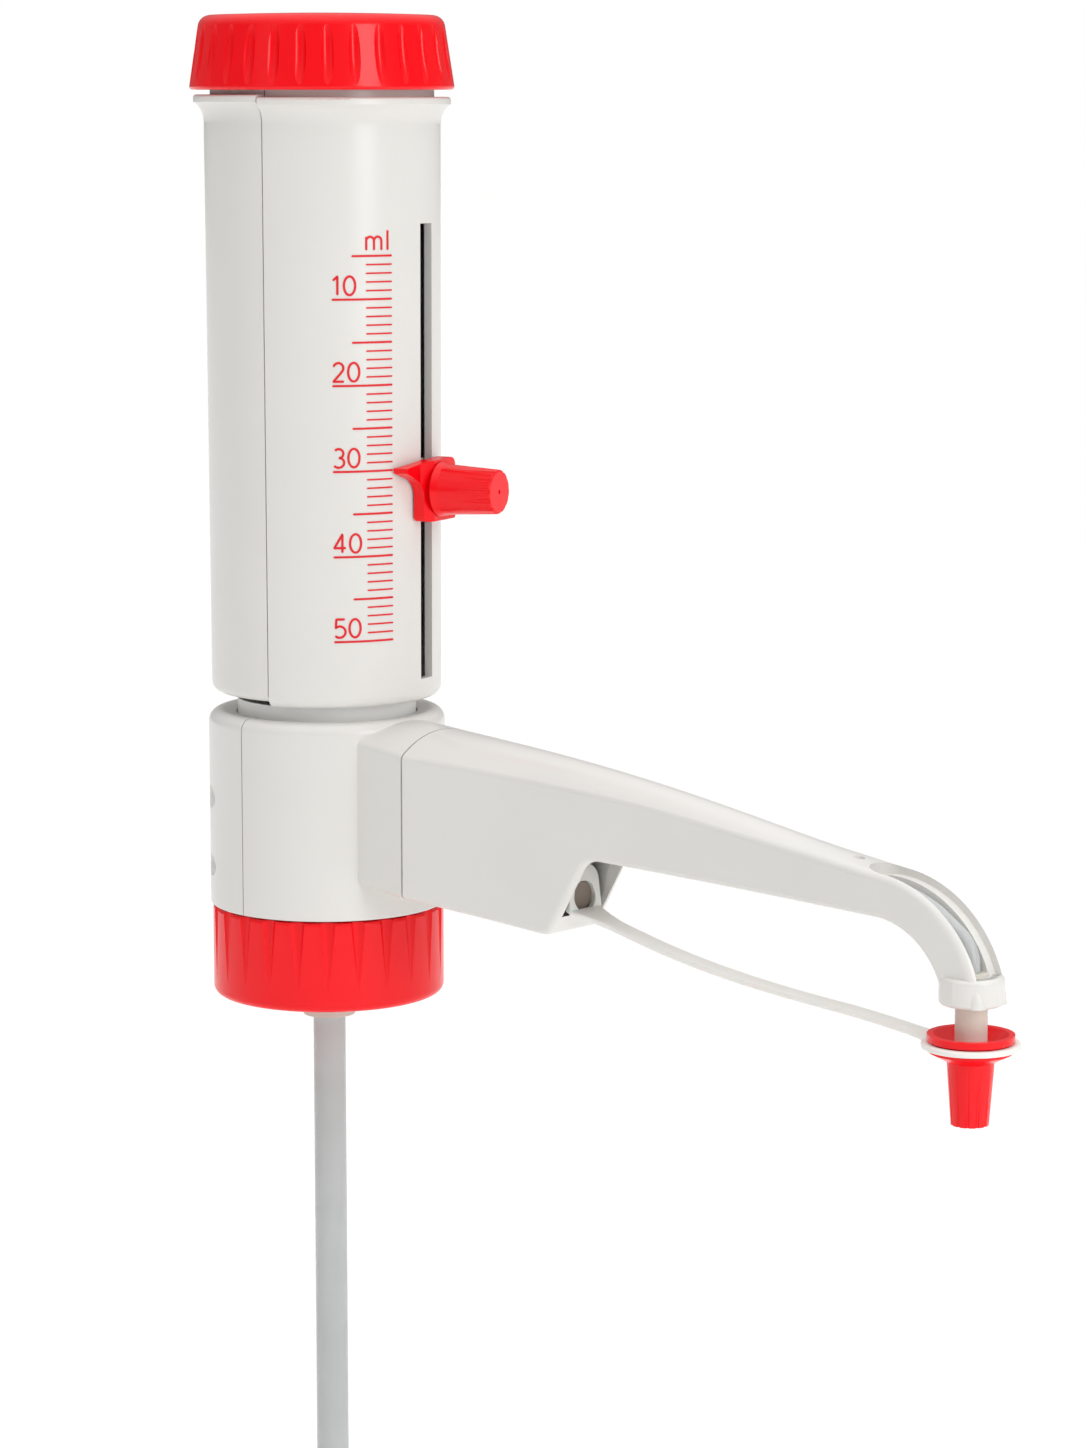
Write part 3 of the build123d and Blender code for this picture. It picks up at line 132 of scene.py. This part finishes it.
# camera at the photograph's angle
camera = {
    "place": (717.5, -704.3, 221.0),
    "turn": 47.5,     # from the arm's direction to the camera
    "tilt": 8.74,     # below the horizon
    "lens": 102.5,    # on a 36 mm frame
}
lens = bpy.data.cameras.new("camera")
lens.lens = camera["lens"]
lens.sensor_width = 36
lens.clip_start = 0.05
lens.clip_end = 60
cameraObject = bpy.data.objects.new("camera", lens)
bpy.context.scene.collection.objects.link(cameraObject)
turn = math.radians(camera["turn"])
tilt = math.radians(camera["tilt"])
towards = Vector((math.cos(turn), -math.sin(turn), 0))    # level direction from the object to the camera
sideways = Vector((math.sin(turn), math.cos(turn), 0))    # level direction to the picture's right
forward = -towards * math.cos(tilt) - Vector((0, 0, math.sin(tilt)))
cameraObject.location = Vector(camera["place"]) * mm
cameraObject.rotation_mode = "QUATERNION"
cameraObject.rotation_quaternion = forward.to_track_quat("-Z", "Y")
bpy.context.scene.camera = cameraObject
print("camera set")

# studio: pale floor under the tube's lower end, a white room that is brightest overhead, and two softboxes
studio = {
    "floorDrop": 1.0,
    "floorReach": 12000,
    "floorRoughness": 0.9,
    "floorColour": "F6F6F5",
    "floorGlow": 0.08,
    "roomColour": "FFFFFF",
    "roomLow": 0.17,      # light from the walls
    "roomHigh": 1.75,     # added overhead
    "roomFalloff": 2.0,   # how fast it fades from overhead to the horizon
    "aim": (60, 0, 110),  # where both softboxes point
    "lights": (
        # name, towards the camera, to the right, up, width, height, watts
        ("rightSoftbox", 820, 800, 420, 360, 560, 3.6),
        ("leftSoftbox", 780, -820, 560, 360, 560, 0.3),
    ),
}
bpy.context.scene.view_settings.view_transform = "Standard"
world = bpy.data.worlds.new("studio")
bpy.context.scene.world = world
world.use_nodes = True
world.node_tree.nodes.clear()
direction = addNode(world.node_tree, "ShaderNodeTexCoord", {})
upward = addNode(world.node_tree, "ShaderNodeSeparateXYZ", {0: direction.outputs["Generated"]})
above = addNode(world.node_tree, "ShaderNodeMath", {0: upward.outputs[2], 1: 0.0}, operation="MAXIMUM")
squared = addNode(world.node_tree, "ShaderNodeMath", {0: above.outputs[0], 1: studio["roomFalloff"]},
                  operation="POWER")
strength = addNode(world.node_tree, "ShaderNodeMath",
                   {0: squared.outputs[0], 1: studio["roomHigh"], 2: studio["roomLow"]},
                   operation="MULTIPLY_ADD")
roomColour = linear(studio["roomColour"])
room = addNode(world.node_tree, "ShaderNodeBackground", {"Color": roomColour, "Strength": strength.outputs[0]})
white = addNode(world.node_tree, "ShaderNodeBackground", {"Color": roomColour, "Strength": 1.0})
rays = addNode(world.node_tree, "ShaderNodeLightPath", {})
mixed = addNode(world.node_tree, "ShaderNodeMixShader",
                {0: rays.outputs["Is Camera Ray"], 1: room.outputs[0], 2: white.outputs[0]})
addNode(world.node_tree, "ShaderNodeOutputWorld", {"Surface": mixed.outputs[0]})
for name, near, right, up, width, height, watts in studio["lights"]:
    lamp = bpy.data.lights.new(name, "AREA")
    lamp.shape = "RECTANGLE"
    lamp.size = width * mm
    lamp.size_y = height * mm
    lamp.energy = watts
    lampObject = bpy.data.objects.new(name, lamp)
    bpy.context.scene.collection.objects.link(lampObject)
    lampObject.location = (towards * near + sideways * right + Vector((0, 0, up))) * mm
    aim = Vector(studio["aim"]) * mm - lampObject.location
    lampObject.rotation_mode = "QUATERNION"
    lampObject.rotation_quaternion = aim.to_track_quat("-Z", "Y")
paper = bpy.data.materials.new("whitePaper")
paper.use_nodes = True
paperShader = paper.node_tree.nodes["Principled BSDF"]
paperShader.inputs["Base Color"].default_value = linear(studio["floorColour"])
paperShader.inputs["Roughness"].default_value = studio["floorRoughness"]
paperShader.inputs["Emission Color"].default_value = linear(studio["floorColour"])
paperShader.inputs["Emission Strength"].default_value = studio["floorGlow"]
reach = studio["floorReach"] * mm
floorLevel = cadLow.z - studio["floorDrop"] * mm
floorMesh = bpy.data.meshes.new("floor")
floorCorners = [(x * reach, y * reach, floorLevel) for x, y in ((-1, -1), (1, -1), (1, 1), (-1, 1))]
floorMesh.from_pydata(floorCorners, [], [(0, 1, 2, 3)])
floorMesh.materials.append(paper)
floor = bpy.data.objects.new("floor", floorMesh)
bpy.context.scene.collection.objects.link(floor)
print("studio set")


def newMaterial(name):
    # a new material with its node tree, its shader and the place on the piece, in metres
    made = bpy.data.materials.new(name)
    made.use_nodes = True
    tree = made.node_tree
    place = addNode(tree, "ShaderNodeTexCoord", {}).outputs["Object"]
    return made, tree, tree.nodes["Principled BSDF"], place


def mouldedPlastic(finish):
    # injection-moulded plastic: one colour with faint flow clouds, and a sheen broken by the mould's fine grain;
    # flow, grain and sink are the sizes of clouds, grain and sink marks, and depth and swell the heights of the
    # last two, all in millimetres; spread is how far the roughness varies either way
    made, tree, shader, place = newMaterial(finish["name"])
    flow = addNode(tree, "ShaderNodeTexNoise",
                   {"Vector": place, "Scale": 1 / (finish["flow"] * mm), "Detail": 2.0})
    colour = addNode(tree, "ShaderNodeMix",
                     {0: flow.outputs[0], 6: linear(finish["shade"]), 7: linear(finish["colour"])},
                     data_type="RGBA")
    grain = addNode(tree, "ShaderNodeTexNoise",
                    {"Vector": place, "Scale": 1 / (finish["grain"] * mm), "Detail": 3.0})
    dull = addNode(tree, "ShaderNodeMapRange",
                   {0: grain.outputs[0],
                    3: finish["roughness"] - finish["spread"],
                    4: finish["roughness"] + finish["spread"]})
    swell = addNode(tree, "ShaderNodeTexNoise",
                    {"Vector": place, "Scale": 1 / (finish["sink"] * mm), "Detail": 1.0})
    height = addNode(tree, "ShaderNodeMath", {0: swell.outputs[0], 1: finish["swell"] * mm},
                     operation="MULTIPLY")
    fine = addNode(tree, "ShaderNodeMath",
                   {0: grain.outputs[0], 1: finish["depth"] * mm, 2: height.outputs[0]},
                   operation="MULTIPLY_ADD")
    bump = addNode(tree, "ShaderNodeBump", {"Height": fine.outputs[0], "Strength": 1.0, "Distance": 1.0})
    tree.links.new(colour.outputs[2], shader.inputs["Base Color"])
    tree.links.new(dull.outputs[0], shader.inputs["Roughness"])
    tree.links.new(bump.outputs[0], shader.inputs["Normal"])
    shader.inputs["IOR"].default_value = finish["ior"]
    shader.inputs["Specular IOR Level"].default_value = finish.get("gloss", 0.5)
    shader.inputs["Transmission Weight"].default_value = finish.get("clear", 0.0)
    shader.inputs["Subsurface Weight"].default_value = finish.get("glow", 0.0)
    shader.inputs["Subsurface Scale"].default_value = 2 * mm
    return made


# Red polypropylene, moulded in a polished tool: saturated, a soft clear highlight along each edge
redPolypropylene = mouldedPlastic({
    "name": "redPolypropylene", "colour": "FA0012", "shade": "F2000F",
    "flow": 18, "grain": 0.5, "depth": 0.0012,
    "sink": 9, "swell": 0.012, "roughness": 0.24, "spread": 0.04, "ior": 1.49, "gloss": 0.34,
})
# Light grey PBT of the housings, moulded in an eroded tool: a warm near-white with a wide satin sheen
lightPbt = mouldedPlastic({
    "name": "lightPbt", "colour": "E3E1DD", "shade": "DEDCD8",
    "flow": 30, "grain": 0.45, "depth": 0.0012,
    "sink": 14, "swell": 0.014, "roughness": 0.30, "spread": 0.05, "ior": 1.55,
})
# White polyethylene strap: soft and waxy, light sinks in a little
whitePolyethylene = mouldedPlastic({
    "name": "whitePolyethylene", "colour": "F1F0EC", "shade": "EAE9E4",
    "flow": 12, "grain": 0.4, "depth": 0.001,
    "sink": 6, "swell": 0.008, "roughness": 0.46, "spread": 0.05, "ior": 1.51, "glow": 0.12,
})
# Natural ETFE of the valve core: milky, with a dull waxy sheen
naturalEtfe = mouldedPlastic({
    "name": "naturalEtfe", "colour": "DEDAD0", "shade": "D4CFC3",
    "flow": 10, "grain": 0.4, "depth": 0.0015,
    "sink": 8, "swell": 0.01, "roughness": 0.48, "spread": 0.06, "ior": 1.40, "glow": 0.1,
})
# Taupe PCTFE of the outlet valve: a dark warm grey without shine
taupePctfe = mouldedPlastic({
    "name": "taupePctfe", "colour": "8F8074", "shade": "83756A",
    "flow": 8, "grain": 0.4, "depth": 0.002,
    "sink": 6, "swell": 0.01, "roughness": 0.52, "spread": 0.06, "ior": 1.43,
})
# Alumina piston, ground: even ivory white, hard glassy highlight
alumina = mouldedPlastic({
    "name": "alumina", "colour": "F2EFE6", "shade": "EBE7DC",
    "flow": 14, "grain": 0.4, "depth": 0.0005,
    "sink": 10, "swell": 0.003, "roughness": 0.16, "spread": 0.03, "ior": 1.76,
})
# PTFE-faced neck seal: chalk white and dull
sealPtfe = mouldedPlastic({
    "name": "sealPtfe", "colour": "DAD6CC", "shade": "CFCABD",
    "flow": 7, "grain": 0.5, "depth": 0.003,
    "sink": 5, "swell": 0.01, "roughness": 0.6, "spread": 0.06, "ior": 1.38,
})
# FEP tube, extruded: milky, lets in about half of the light, with a soft waxy sheen
fepTube = mouldedPlastic({
    "name": "fepTube", "colour": "ECEEEE", "shade": "E2E5E5",
    "flow": 9, "grain": 0.5, "depth": 0.0006,
    "sink": 6, "swell": 0.004, "roughness": 0.22, "spread": 0.04, "ior": 1.34, "clear": 0.45,
})
# Borosilicate glass of the measuring cylinder: clear with a faint cool tint
borosilicate = mouldedPlastic({
    "name": "borosilicate", "colour": "F5FAFA", "shade": "EEF5F5",
    "flow": 40, "grain": 1.0, "depth": 0.0001,
    "sink": 20, "swell": 0.002, "roughness": 0.02, "spread": 0.01, "ior": 1.47, "clear": 1.0,
})


def sleevePlastic(finish):
    # black glass-filled sleeve with long faint rub marks; below the ring's top height it is painted near white,
    # a painted light that brightens the ring to offset the shade under the casing
    made, tree, shader, place = newMaterial(finish["name"])
    squeeze = addNode(tree, "ShaderNodeMapping", {"Vector": place, "Scale": (1.0, 1.0, finish["stretch"])})
    marks = addNode(tree, "ShaderNodeTexNoise",
                    {"Vector": squeeze.outputs[0], "Scale": 1 / (finish["mark"] * mm),
                     "Detail": 6.0, "Distortion": 1.2})
    bands = addNode(tree, "ShaderNodeMapRange", {0: marks.outputs[0], 1: 0.42, 2: 0.62})
    black = addNode(tree, "ShaderNodeMix",
                    {0: bands.outputs[0], 6: linear(finish["colour"]), 7: linear(finish["rubbed"])},
                    data_type="RGBA")
    level = addNode(tree, "ShaderNodeSeparateXYZ", {0: place})
    # painted light: below this height the colour is a near-white band that brightens the shaded ring under the
    # casing
    low = addNode(tree, "ShaderNodeMath", {0: level.outputs[2], 1: finish["paintedRingTop"] * mm},
                  operation="LESS_THAN")
    colour = addNode(tree, "ShaderNodeMix",
                     {0: low.outputs[0], 6: black.outputs[2], 7: linear(finish["ring"])}, data_type="RGBA")
    dull = addNode(tree, "ShaderNodeMapRange", {0: marks.outputs[0], 3: 0.34, 4: 0.62})
    bump = addNode(tree, "ShaderNodeBump",
                   {"Height": marks.outputs[0], "Strength": 0.5, "Distance": finish["depth"] * mm})
    tree.links.new(colour.outputs[2], shader.inputs["Base Color"])
    tree.links.new(dull.outputs[0], shader.inputs["Roughness"])
    tree.links.new(bump.outputs[0], shader.inputs["Normal"])
    shader.inputs["IOR"].default_value = 1.55
    return made


# Glass-filled nylon sleeve: near black, with faint streaks where the casing rubs on it; its bottom ring is
# painted near white, brightened as painted light against the shade under the casing
sleeveNylon = sleevePlastic({
    # the ring colour is painted light, set brighter than the ring looks so that the shade under the casing is
    # cancelled
    "name": "sleeveNylon", "colour": "161616", "rubbed": "2C2C2B", "ring": "F7F7F5", "paintedRingTop": 74.2,
    "mark": 2.6, "stretch": 0.08, "depth": 0.04,
})


def turnedSteel(finish):
    # screw steel with fine even tool marks, about twice mark millimetres apart
    made, tree, shader, place = newMaterial(finish["name"])
    wave = addNode(tree, "ShaderNodeTexWave",
                   {"Vector": place, "Scale": 1 / (finish["mark"] * mm * 2 * math.pi), "Distortion": 1.5},
                   bands_direction="X")
    dull = addNode(tree, "ShaderNodeMapRange", {0: wave.outputs[1], 3: 0.24, 4: 0.38})
    bump = addNode(tree, "ShaderNodeBump",
                   {"Height": wave.outputs[1], "Strength": 0.4, "Distance": 0.01 * mm})
    shader.inputs["Base Color"].default_value = linear(finish["colour"])
    shader.inputs["Metallic"].default_value = 1.0
    tree.links.new(dull.outputs[0], shader.inputs["Roughness"])
    tree.links.new(bump.outputs[0], shader.inputs["Normal"])
    return made


# Stainless screws: bright, with a satin sheen from the tool marks
stainless = turnedSteel({"name": "stainless", "colour": "B9BABC", "mark": 0.5})


def padInk(finish):
    # pad-printed ink: flat colour, slightly uneven where the film is thin
    made, tree, shader, place = newMaterial(finish["name"])
    film = addNode(tree, "ShaderNodeTexNoise",
                   {"Vector": place, "Scale": 1 / (finish["patch"] * mm), "Detail": 3.0})
    colour = addNode(tree, "ShaderNodeMix",
                     {0: film.outputs[0], 6: linear(finish["thin"]), 7: linear(finish["colour"])},
                     data_type="RGBA")
    dull = addNode(tree, "ShaderNodeMapRange", {0: film.outputs[0], 3: 0.42, 4: 0.56})
    tree.links.new(colour.outputs[2], shader.inputs["Base Color"])
    tree.links.new(dull.outputs[0], shader.inputs["Roughness"])
    return made


# Red pad-printing ink of the scale: opaque and slightly duller than the plastic under it
scaleInk = padInk({"name": "scaleInk", "colour": "E3041A", "thin": "D90318", "patch": 1.2})
print("materials made")

dressing = {
    redPolypropylene: ("top_cap", "neck_nut", "pointer_slider", "clamp_knob", "closure_cap"),
    lightPbt: ("scale_shell", "rear_shell", "block_front_shell", "block_rear_shell", "arm_housing",
               "slider_foot"),
    naturalEtfe: ("valve_core", "suction_valve_body", "suction_valve_cage", "piston_holder", "piston_nut",
                  "cylinder_clamp_ring", "nozzle_tip", "outlet_valve_spout"),
    taupePctfe: ("outlet_valve_body",),
    alumina: ("piston", "suction_ball", "outlet_ball"),
    sealPtfe: ("neck_seal", "cylinder_seal"),
    fepTube: ("discharge_tube", "upper_suction_tube", "lower_suction_tube"),
    borosilicate: ("measuring_cylinder",),
    sleeveNylon: ("guide_sleeve",),
    stainless: ("block_screws", "clamp_screw"),
    whitePolyethylene: ("closure_strap",),
}
for material, names in dressing.items():
    for name in names:
        nodes[name].data.materials.clear()
        nodes[name].data.materials.append(material)
print("CAD nodes dressed")

# printed scale on the casing: a line for each millilitre and a number for each ten
scale = {
    "fives": 182.34,        # height of the 5 ml line
    "step": 2.0367,         # height of one millilitre
    "right": -9.8,          # angle of the lines' right ends
    "ones": -24.0,          # angle of the left end of a 1 ml line
    "half": -31.1,          # of a 5 ml line
    "tens": -40.8,          # of a 10 ml line
    "thin": 0.38,
    "thick": 0.5,
    "ink": 0.09,            # how far the ink's face stands above the cone
    "sunk": -0.05,          # its back, below the cone
    "foot": (74.4, 28.1),   # height and radius at the cone's foot
    "head": (213.0, 28.5),
    "numberLeft": -40.9,
    "numberHeight": 4.4,
    "numberLift": 1.05,     # baseline above the line's middle
    "stroke": 0.56,         # width of a number's strokes
    "gap": 0.20,            # between two digits, as a share of their height
    "unitGap": 0.36,        # between the unit's letters, in the same way
    "barStep": 0.2,         # how far apart a line's points lie, so that it follows the cone
    "strokeStep": 0.12,     # the same for a character
    "endShare": 0.1,        # how far a round end narrows, as a share of the width squared
    "unitLeft": -24.2,
    "unitHeight": 4.7,
    "unitLift": 1.3,
}


def coneRadius(z):
    (z0, r0), (z1, r1) = scale["foot"], scale["head"]
    return r0 + (r1 - r0) * (z - z0) / (z1 - z0)


def onCone(angle, z, lift):
    r = coneRadius(z) + lift
    return (r * math.cos(math.radians(angle)), r * math.sin(math.radians(angle)), z)


def inkStroke(points, width, closed=False):
    # a printed stroke with round ends, along points that are given as arc length round the cone and height
    flat = [Vector(p) for p in points]
    lengths = [0.0]
    for before, after in zip(flat, flat[1:]):
        lengths.append(lengths[-1] + (after - before).length)
    sections = []
    for i, p in enumerate(flat):
        before = flat[i - 1] if i or closed else p
        after = flat[(i + 1) % len(flat)] if closed or i + 1 < len(flat) else p
        along = (after - before).normalized()
        side = Vector((-along.y, along.x))
        nearEnd = min(lengths[i], lengths[-1] - lengths[i]) / (width / 2)
        rounded = 1
        if not closed and nearEnd < 1:
            rounded = math.sqrt(max(scale["endShare"], 1 - (1 - nearEnd) ** 2))
        half = width / 2 * rounded
        low, high = scale["sunk"], scale["ink"]
        loop = []
        for offset, lift in ((-half, low), (-half, high), (half, high), (half, low)):
            arc, z = p + side * offset
            loop.append(onCone(math.degrees(arc / coneRadius(z)), z, lift))
        sections.append(loop)
    return skin("inkStroke", sections, closed)


def finer(points, step):
    # the same polyline with points no further apart than a step
    made = [points[0]]
    for (x0, z0), (x1, z1) in zip(points, points[1:]):
        count = max(1, math.ceil(math.hypot(x1 - x0, z1 - z0) / step))
        made += [(x0 + (x1 - x0) * i / count, z0 + (z1 - z0) * i / count) for i in range(1, count + 1)]
    return made


def curved(centre, radii, start, end, count=14):
    # points on an ellipse from one angle to another
    angles = [math.radians(start + (end - start) * i / count) for i in range(count + 1)]
    return [(centre[0] + radii[0] * math.cos(a), centre[1] + radii[1] * math.sin(a)) for a in angles]


# each character's strokes in a box one unit high, its width, and whether its strokes are closed
characters = {
    "0": ([curved((0.31, 0.5), (0.31, 0.5), 0, 345, 30)], 0.62, True),
    "1": ([[(0.02, 0.78), (0.27, 1.0), (0.27, 0.0)]], 0.42, False),
    "2": ([curved((0.29, 0.72), (0.27, 0.28), 165, -20) + [(0.42, 0.45), (0.02, 0.0), (0.60, 0.0)]],
          0.62, False),
    "3": ([curved((0.27, 0.75), (0.26, 0.25), 140, -90), curved((0.27, 0.26), (0.30, 0.27), 90, -145)],
          0.60, False),
    "4": ([[(0.44, 0.0), (0.44, 1.0), (0.0, 0.26), (0.64, 0.26)]], 0.66, False),
    "5": ([[(0.55, 1.0), (0.08, 1.0), (0.05, 0.53)] + curved((0.26, 0.31), (0.32, 0.31), 115, -140)],
          0.60, False),
    "m": ([[(0.0, 0.0), (0.0, 0.68)], curved((0.21, 0.46), (0.21, 0.22), 180, 0) + [(0.42, 0.0)],
           curved((0.63, 0.46), (0.21, 0.22), 180, 0) + [(0.84, 0.0)]], 0.84, False),
    "l": ([[(0.0, 0.0), (0.0, 1.0)]], 0.0, False),
}


def printed(word, left, baseline, height, gap):
    # a word in single strokes, from its left end and baseline on the cone
    made = []
    arc = math.radians(left) * coneRadius(baseline) + scale["stroke"] / 2
    for character in word:
        strokes, width, closed = characters[character]
        for stroke in strokes:
            points = [(arc + x * height, baseline + z * height) for x, z in stroke]
            if not closed:
                points = finer(points, scale["strokeStep"])
            made.append(inkStroke(points, scale["stroke"], closed))
        arc += (width + gap) * height
    return made


bars = []
for millilitre in range(5, 51):
    z = scale["fives"] - (millilitre - 5) * scale["step"]
    left, thickness = scale["ones"], scale["thin"]
    if millilitre % 5 == 0:
        left, thickness = scale["half"], scale["thick"]
    if millilitre % 10 == 0:
        left = scale["tens"]
    ends = [(math.radians(angle) * coneRadius(z), z) for angle in (left, scale["right"])]
    bars.append(inkStroke(finer(ends, scale["barStep"]), thickness))
scaleLines = joined("scaleLines", bars, scaleInk)
numbers = []
for ten in (10, 20, 30, 40, 50):
    z = scale["fives"] - (ten - 5) * scale["step"]
    baseline = z + scale["numberLift"]
    numbers += printed(str(ten), scale["numberLeft"], baseline, scale["numberHeight"], scale["gap"])
scaleNumbers = joined("scaleNumbers", numbers, scaleInk)
baseline = scale["fives"] + scale["unitLift"]
letters = printed("ml", scale["unitLeft"], baseline, scale["unitHeight"], scale["unitGap"])
unit = joined("scaleUnit", letters, scaleInk)
for ink in (scaleLines, scaleNumbers, unit):
    faceOutwards(ink)
    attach(ink, "casing")
print("scale printed")


def ringLoops(centre, rows, steps=72):
    # turned sections round an upright axis; rows are (radius, height) of one closed outline
    turns = [2 * math.pi * i / steps for i in range(steps)]
    return [[(centre[0] + r * math.cos(a), centre[1] + r * math.sin(a), z) for r, z in rows] for a in turns]


def softRectangle(width, height, corner, perCorner=4):
    # outline of a rectangle with round corners, about its own centre
    points = []
    for sx, sy, start in ((1, 1, 0), (-1, 1, 90), (-1, -1, 180), (1, -1, 270)):
        for i in range(perCorner + 1):
            a = math.radians(start + 90 * i / perCorner)
            points.append((sx * (width / 2 - corner) + corner * math.cos(a),
                           sy * (height / 2 - corner) + corner * math.sin(a)))
    return points


# closure strap: one soft moulding from the eyelet round the valve's nose to the ring round the closure
strap = {
    # the band's middle line as x and height, from the eyelet to the ring
    "route": ((85.4, 31.4), (96.0, 28.8), (112.0, 25.2), (130.0, 22.4), (150.0, 20.5), (172.0, 19.2),
              (188.2, 17.05)),
    "routeSteps": 14,
    "width": 5.0,
    "thickness": 1.3,
    "edge": 0.42,              # radius of the band's long edges
    "rootWidth": 10.6,         # at the eyelet, narrowing over rootLength
    "rootLength": 11.0,
    "endWidth": 7.0,           # at the ring, narrowing over endLength
    "endLength": 6.0,
    "flare": 1.6,              # how suddenly both ends widen
    "groove": 0.22,            # depth of the shallow channel along its top
    "lip": 1.0,                # width left beside the channel
    "ring": (197.6, 0.0),      # the ring's middle, x and y
    "ringInside": 8.92,
    "ringOutside": 10.85,
    "ringBottom": 16.4,
    "ringHeight": 1.25,
    "ringEdge": 0.35,
    "eyelet": (85.95, 30.85),  # lower end of the upright plate, x and height
    "eyeletWidth": 10.8,
    "eyeletLength": 11.5,
    "eyeletCorner": 4.0,       # radius of the plate's upper corners
    "eyeletFoot": 4.0,         # half of the width over which the square lower end is spread
    "eyeletThickness": 1.5,
    "eyeletLean": 8.0,         # from upright
    "hole": 3.72,
    "holeHeight": 34.8,
}


def smoothRoute(points, steps):
    # points along a NURBS curve of order 3 through the route's control points
    curve = bpy.data.curves.new("route", "CURVE")
    curve.dimensions = "3D"
    spline = curve.splines.new("NURBS")
    spline.points.add(len(points) - 1)
    for target, (x, z) in zip(spline.points, points):
        target.co = (x, 0, z, 1)
    spline.order_u = 3
    spline.use_endpoint_u = True
    spline.resolution_u = steps
    holder = bpy.data.objects.new("route", curve)
    bpy.context.scene.collection.objects.link(holder)
    bpy.context.view_layer.update()
    line = bpy.data.meshes.new_from_object(holder.evaluated_get(bpy.context.evaluated_depsgraph_get()))
    bpy.data.objects.remove(holder)
    return [(v.co.x, v.co.z) for v in line.vertices]


route = smoothRoute(strap["route"], strap["routeSteps"])
bandSections = []
for i, (x, z) in enumerate(route):
    x0, z0 = route[max(0, i - 1)]
    x1, z1 = route[min(len(route) - 1, i + 1)]
    slope = math.atan2(z1 - z0, x1 - x0)
    fromRoot = (x - route[0][0]) / strap["rootLength"]
    fromEnd = (route[-1][0] - x) / strap["endLength"]
    width = strap["width"]
    width += max(0, 1 - fromRoot) ** strap["flare"] * (strap["rootWidth"] - width)
    width += max(0, 1 - fromEnd) ** strap["flare"] * (strap["endWidth"] - strap["width"])
    loop = []
    for y, up in softRectangle(width, strap["thickness"], strap["edge"]):
        if up > 0 and abs(y) < width / 2 - strap["lip"]:
            up -= strap["groove"]
        loop.append((x - up * math.sin(slope), y, z + up * math.cos(slope)))
    bandSections.append(loop)
ringMiddle = (strap["ringInside"] + strap["ringOutside"]) / 2
ringLevel = strap["ringBottom"] + strap["ringHeight"] / 2
ringOutline = softRectangle(strap["ringOutside"] - strap["ringInside"], strap["ringHeight"], strap["ringEdge"])
ringRows = [(ringMiddle + u, ringLevel + v) for u, v in ringOutline]
lean = math.radians(strap["eyeletLean"])
plate = []
eyeletHalf = strap["eyeletLength"] / 2
outline = []
for u, v in softRectangle(strap["eyeletWidth"], strap["eyeletLength"], strap["eyeletCorner"], 8):
    if v < 0:
        u = max(-1, min(1, u / strap["eyeletFoot"])) * strap["eyeletWidth"] / 2
    outline.append((u, v + eyeletHalf))
holeMiddle = (strap["holeHeight"] - strap["eyelet"][1]) / math.cos(lean)
for u, v in outline:
    angle = math.atan2(v - holeMiddle, u)
    inner = (strap["hole"] * math.cos(angle), holeMiddle + strap["hole"] * math.sin(angle))
    loop = []
    for (pu, pv), depth in ((inner, 0.0), ((u, v), 0.0), ((u, v), 1.0), (inner, 1.0)):
        back = depth * strap["eyeletThickness"]
        loop.append((strap["eyelet"][0] - pv * math.sin(lean) - back * math.cos(lean), pu,
                     strap["eyelet"][1] + pv * math.cos(lean) - back * math.sin(lean)))
    plate.append(loop)
strapMeshes = [
    skin("band", bandSections),
    skin("ring", ringLoops(strap["ring"], ringRows), True),
    skin("eyelet", plate, True),
]
strapPiece = joined("closureStrap", strapMeshes, whitePolyethylene)
faceOutwards(strapPiece)
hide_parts("closure_strap")
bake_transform(strapPiece)
print("strap made")

# collar round the arm's lower end: a ring with soft rims, over the place where neck and nozzle meet
collar = {
    "middle": (197.6, 0.0),
    "diameter": 14.3,
    "wall": 2.8,
    "bottom": 26.05,
    "height": 6.35,
    "edge": 0.9,              # radius of both rims
    "edgeSteps": 4,
    "cornerSteps": 7,         # faces in a quarter turn
}
collarSections = []
bends = [math.radians(90 * i / collar["edgeSteps"]) for i in range(collar["edgeSteps"] + 1)]
rows = [(collar["edge"] * (1 - math.cos(a)), collar["edge"] * (1 - math.sin(a))) for a in bends]
levels = [(-collar["wall"], 0.0)] + [(-inset, drop) for drop, inset in rows]
levels += [(-inset, collar["height"] - drop) for drop, inset in reversed(rows)]
levels.append((-collar["wall"], collar["height"]))
for offset, level in levels:
    across = collar["diameter"] + 2 * offset
    outline = softRectangle(across, across, collar["diameter"] / 2 + offset, collar["cornerSteps"])
    collarSections.append([(collar["middle"][0] + u, collar["middle"][1] + v, collar["bottom"] + level)
                           for u, v in outline])
collarPiece = joined("nozzleCollar", [skin("collar", collarSections, True)], lightPbt)
faceOutwards(collarPiece)
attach(collarPiece, "valve_block")
print("collar made")
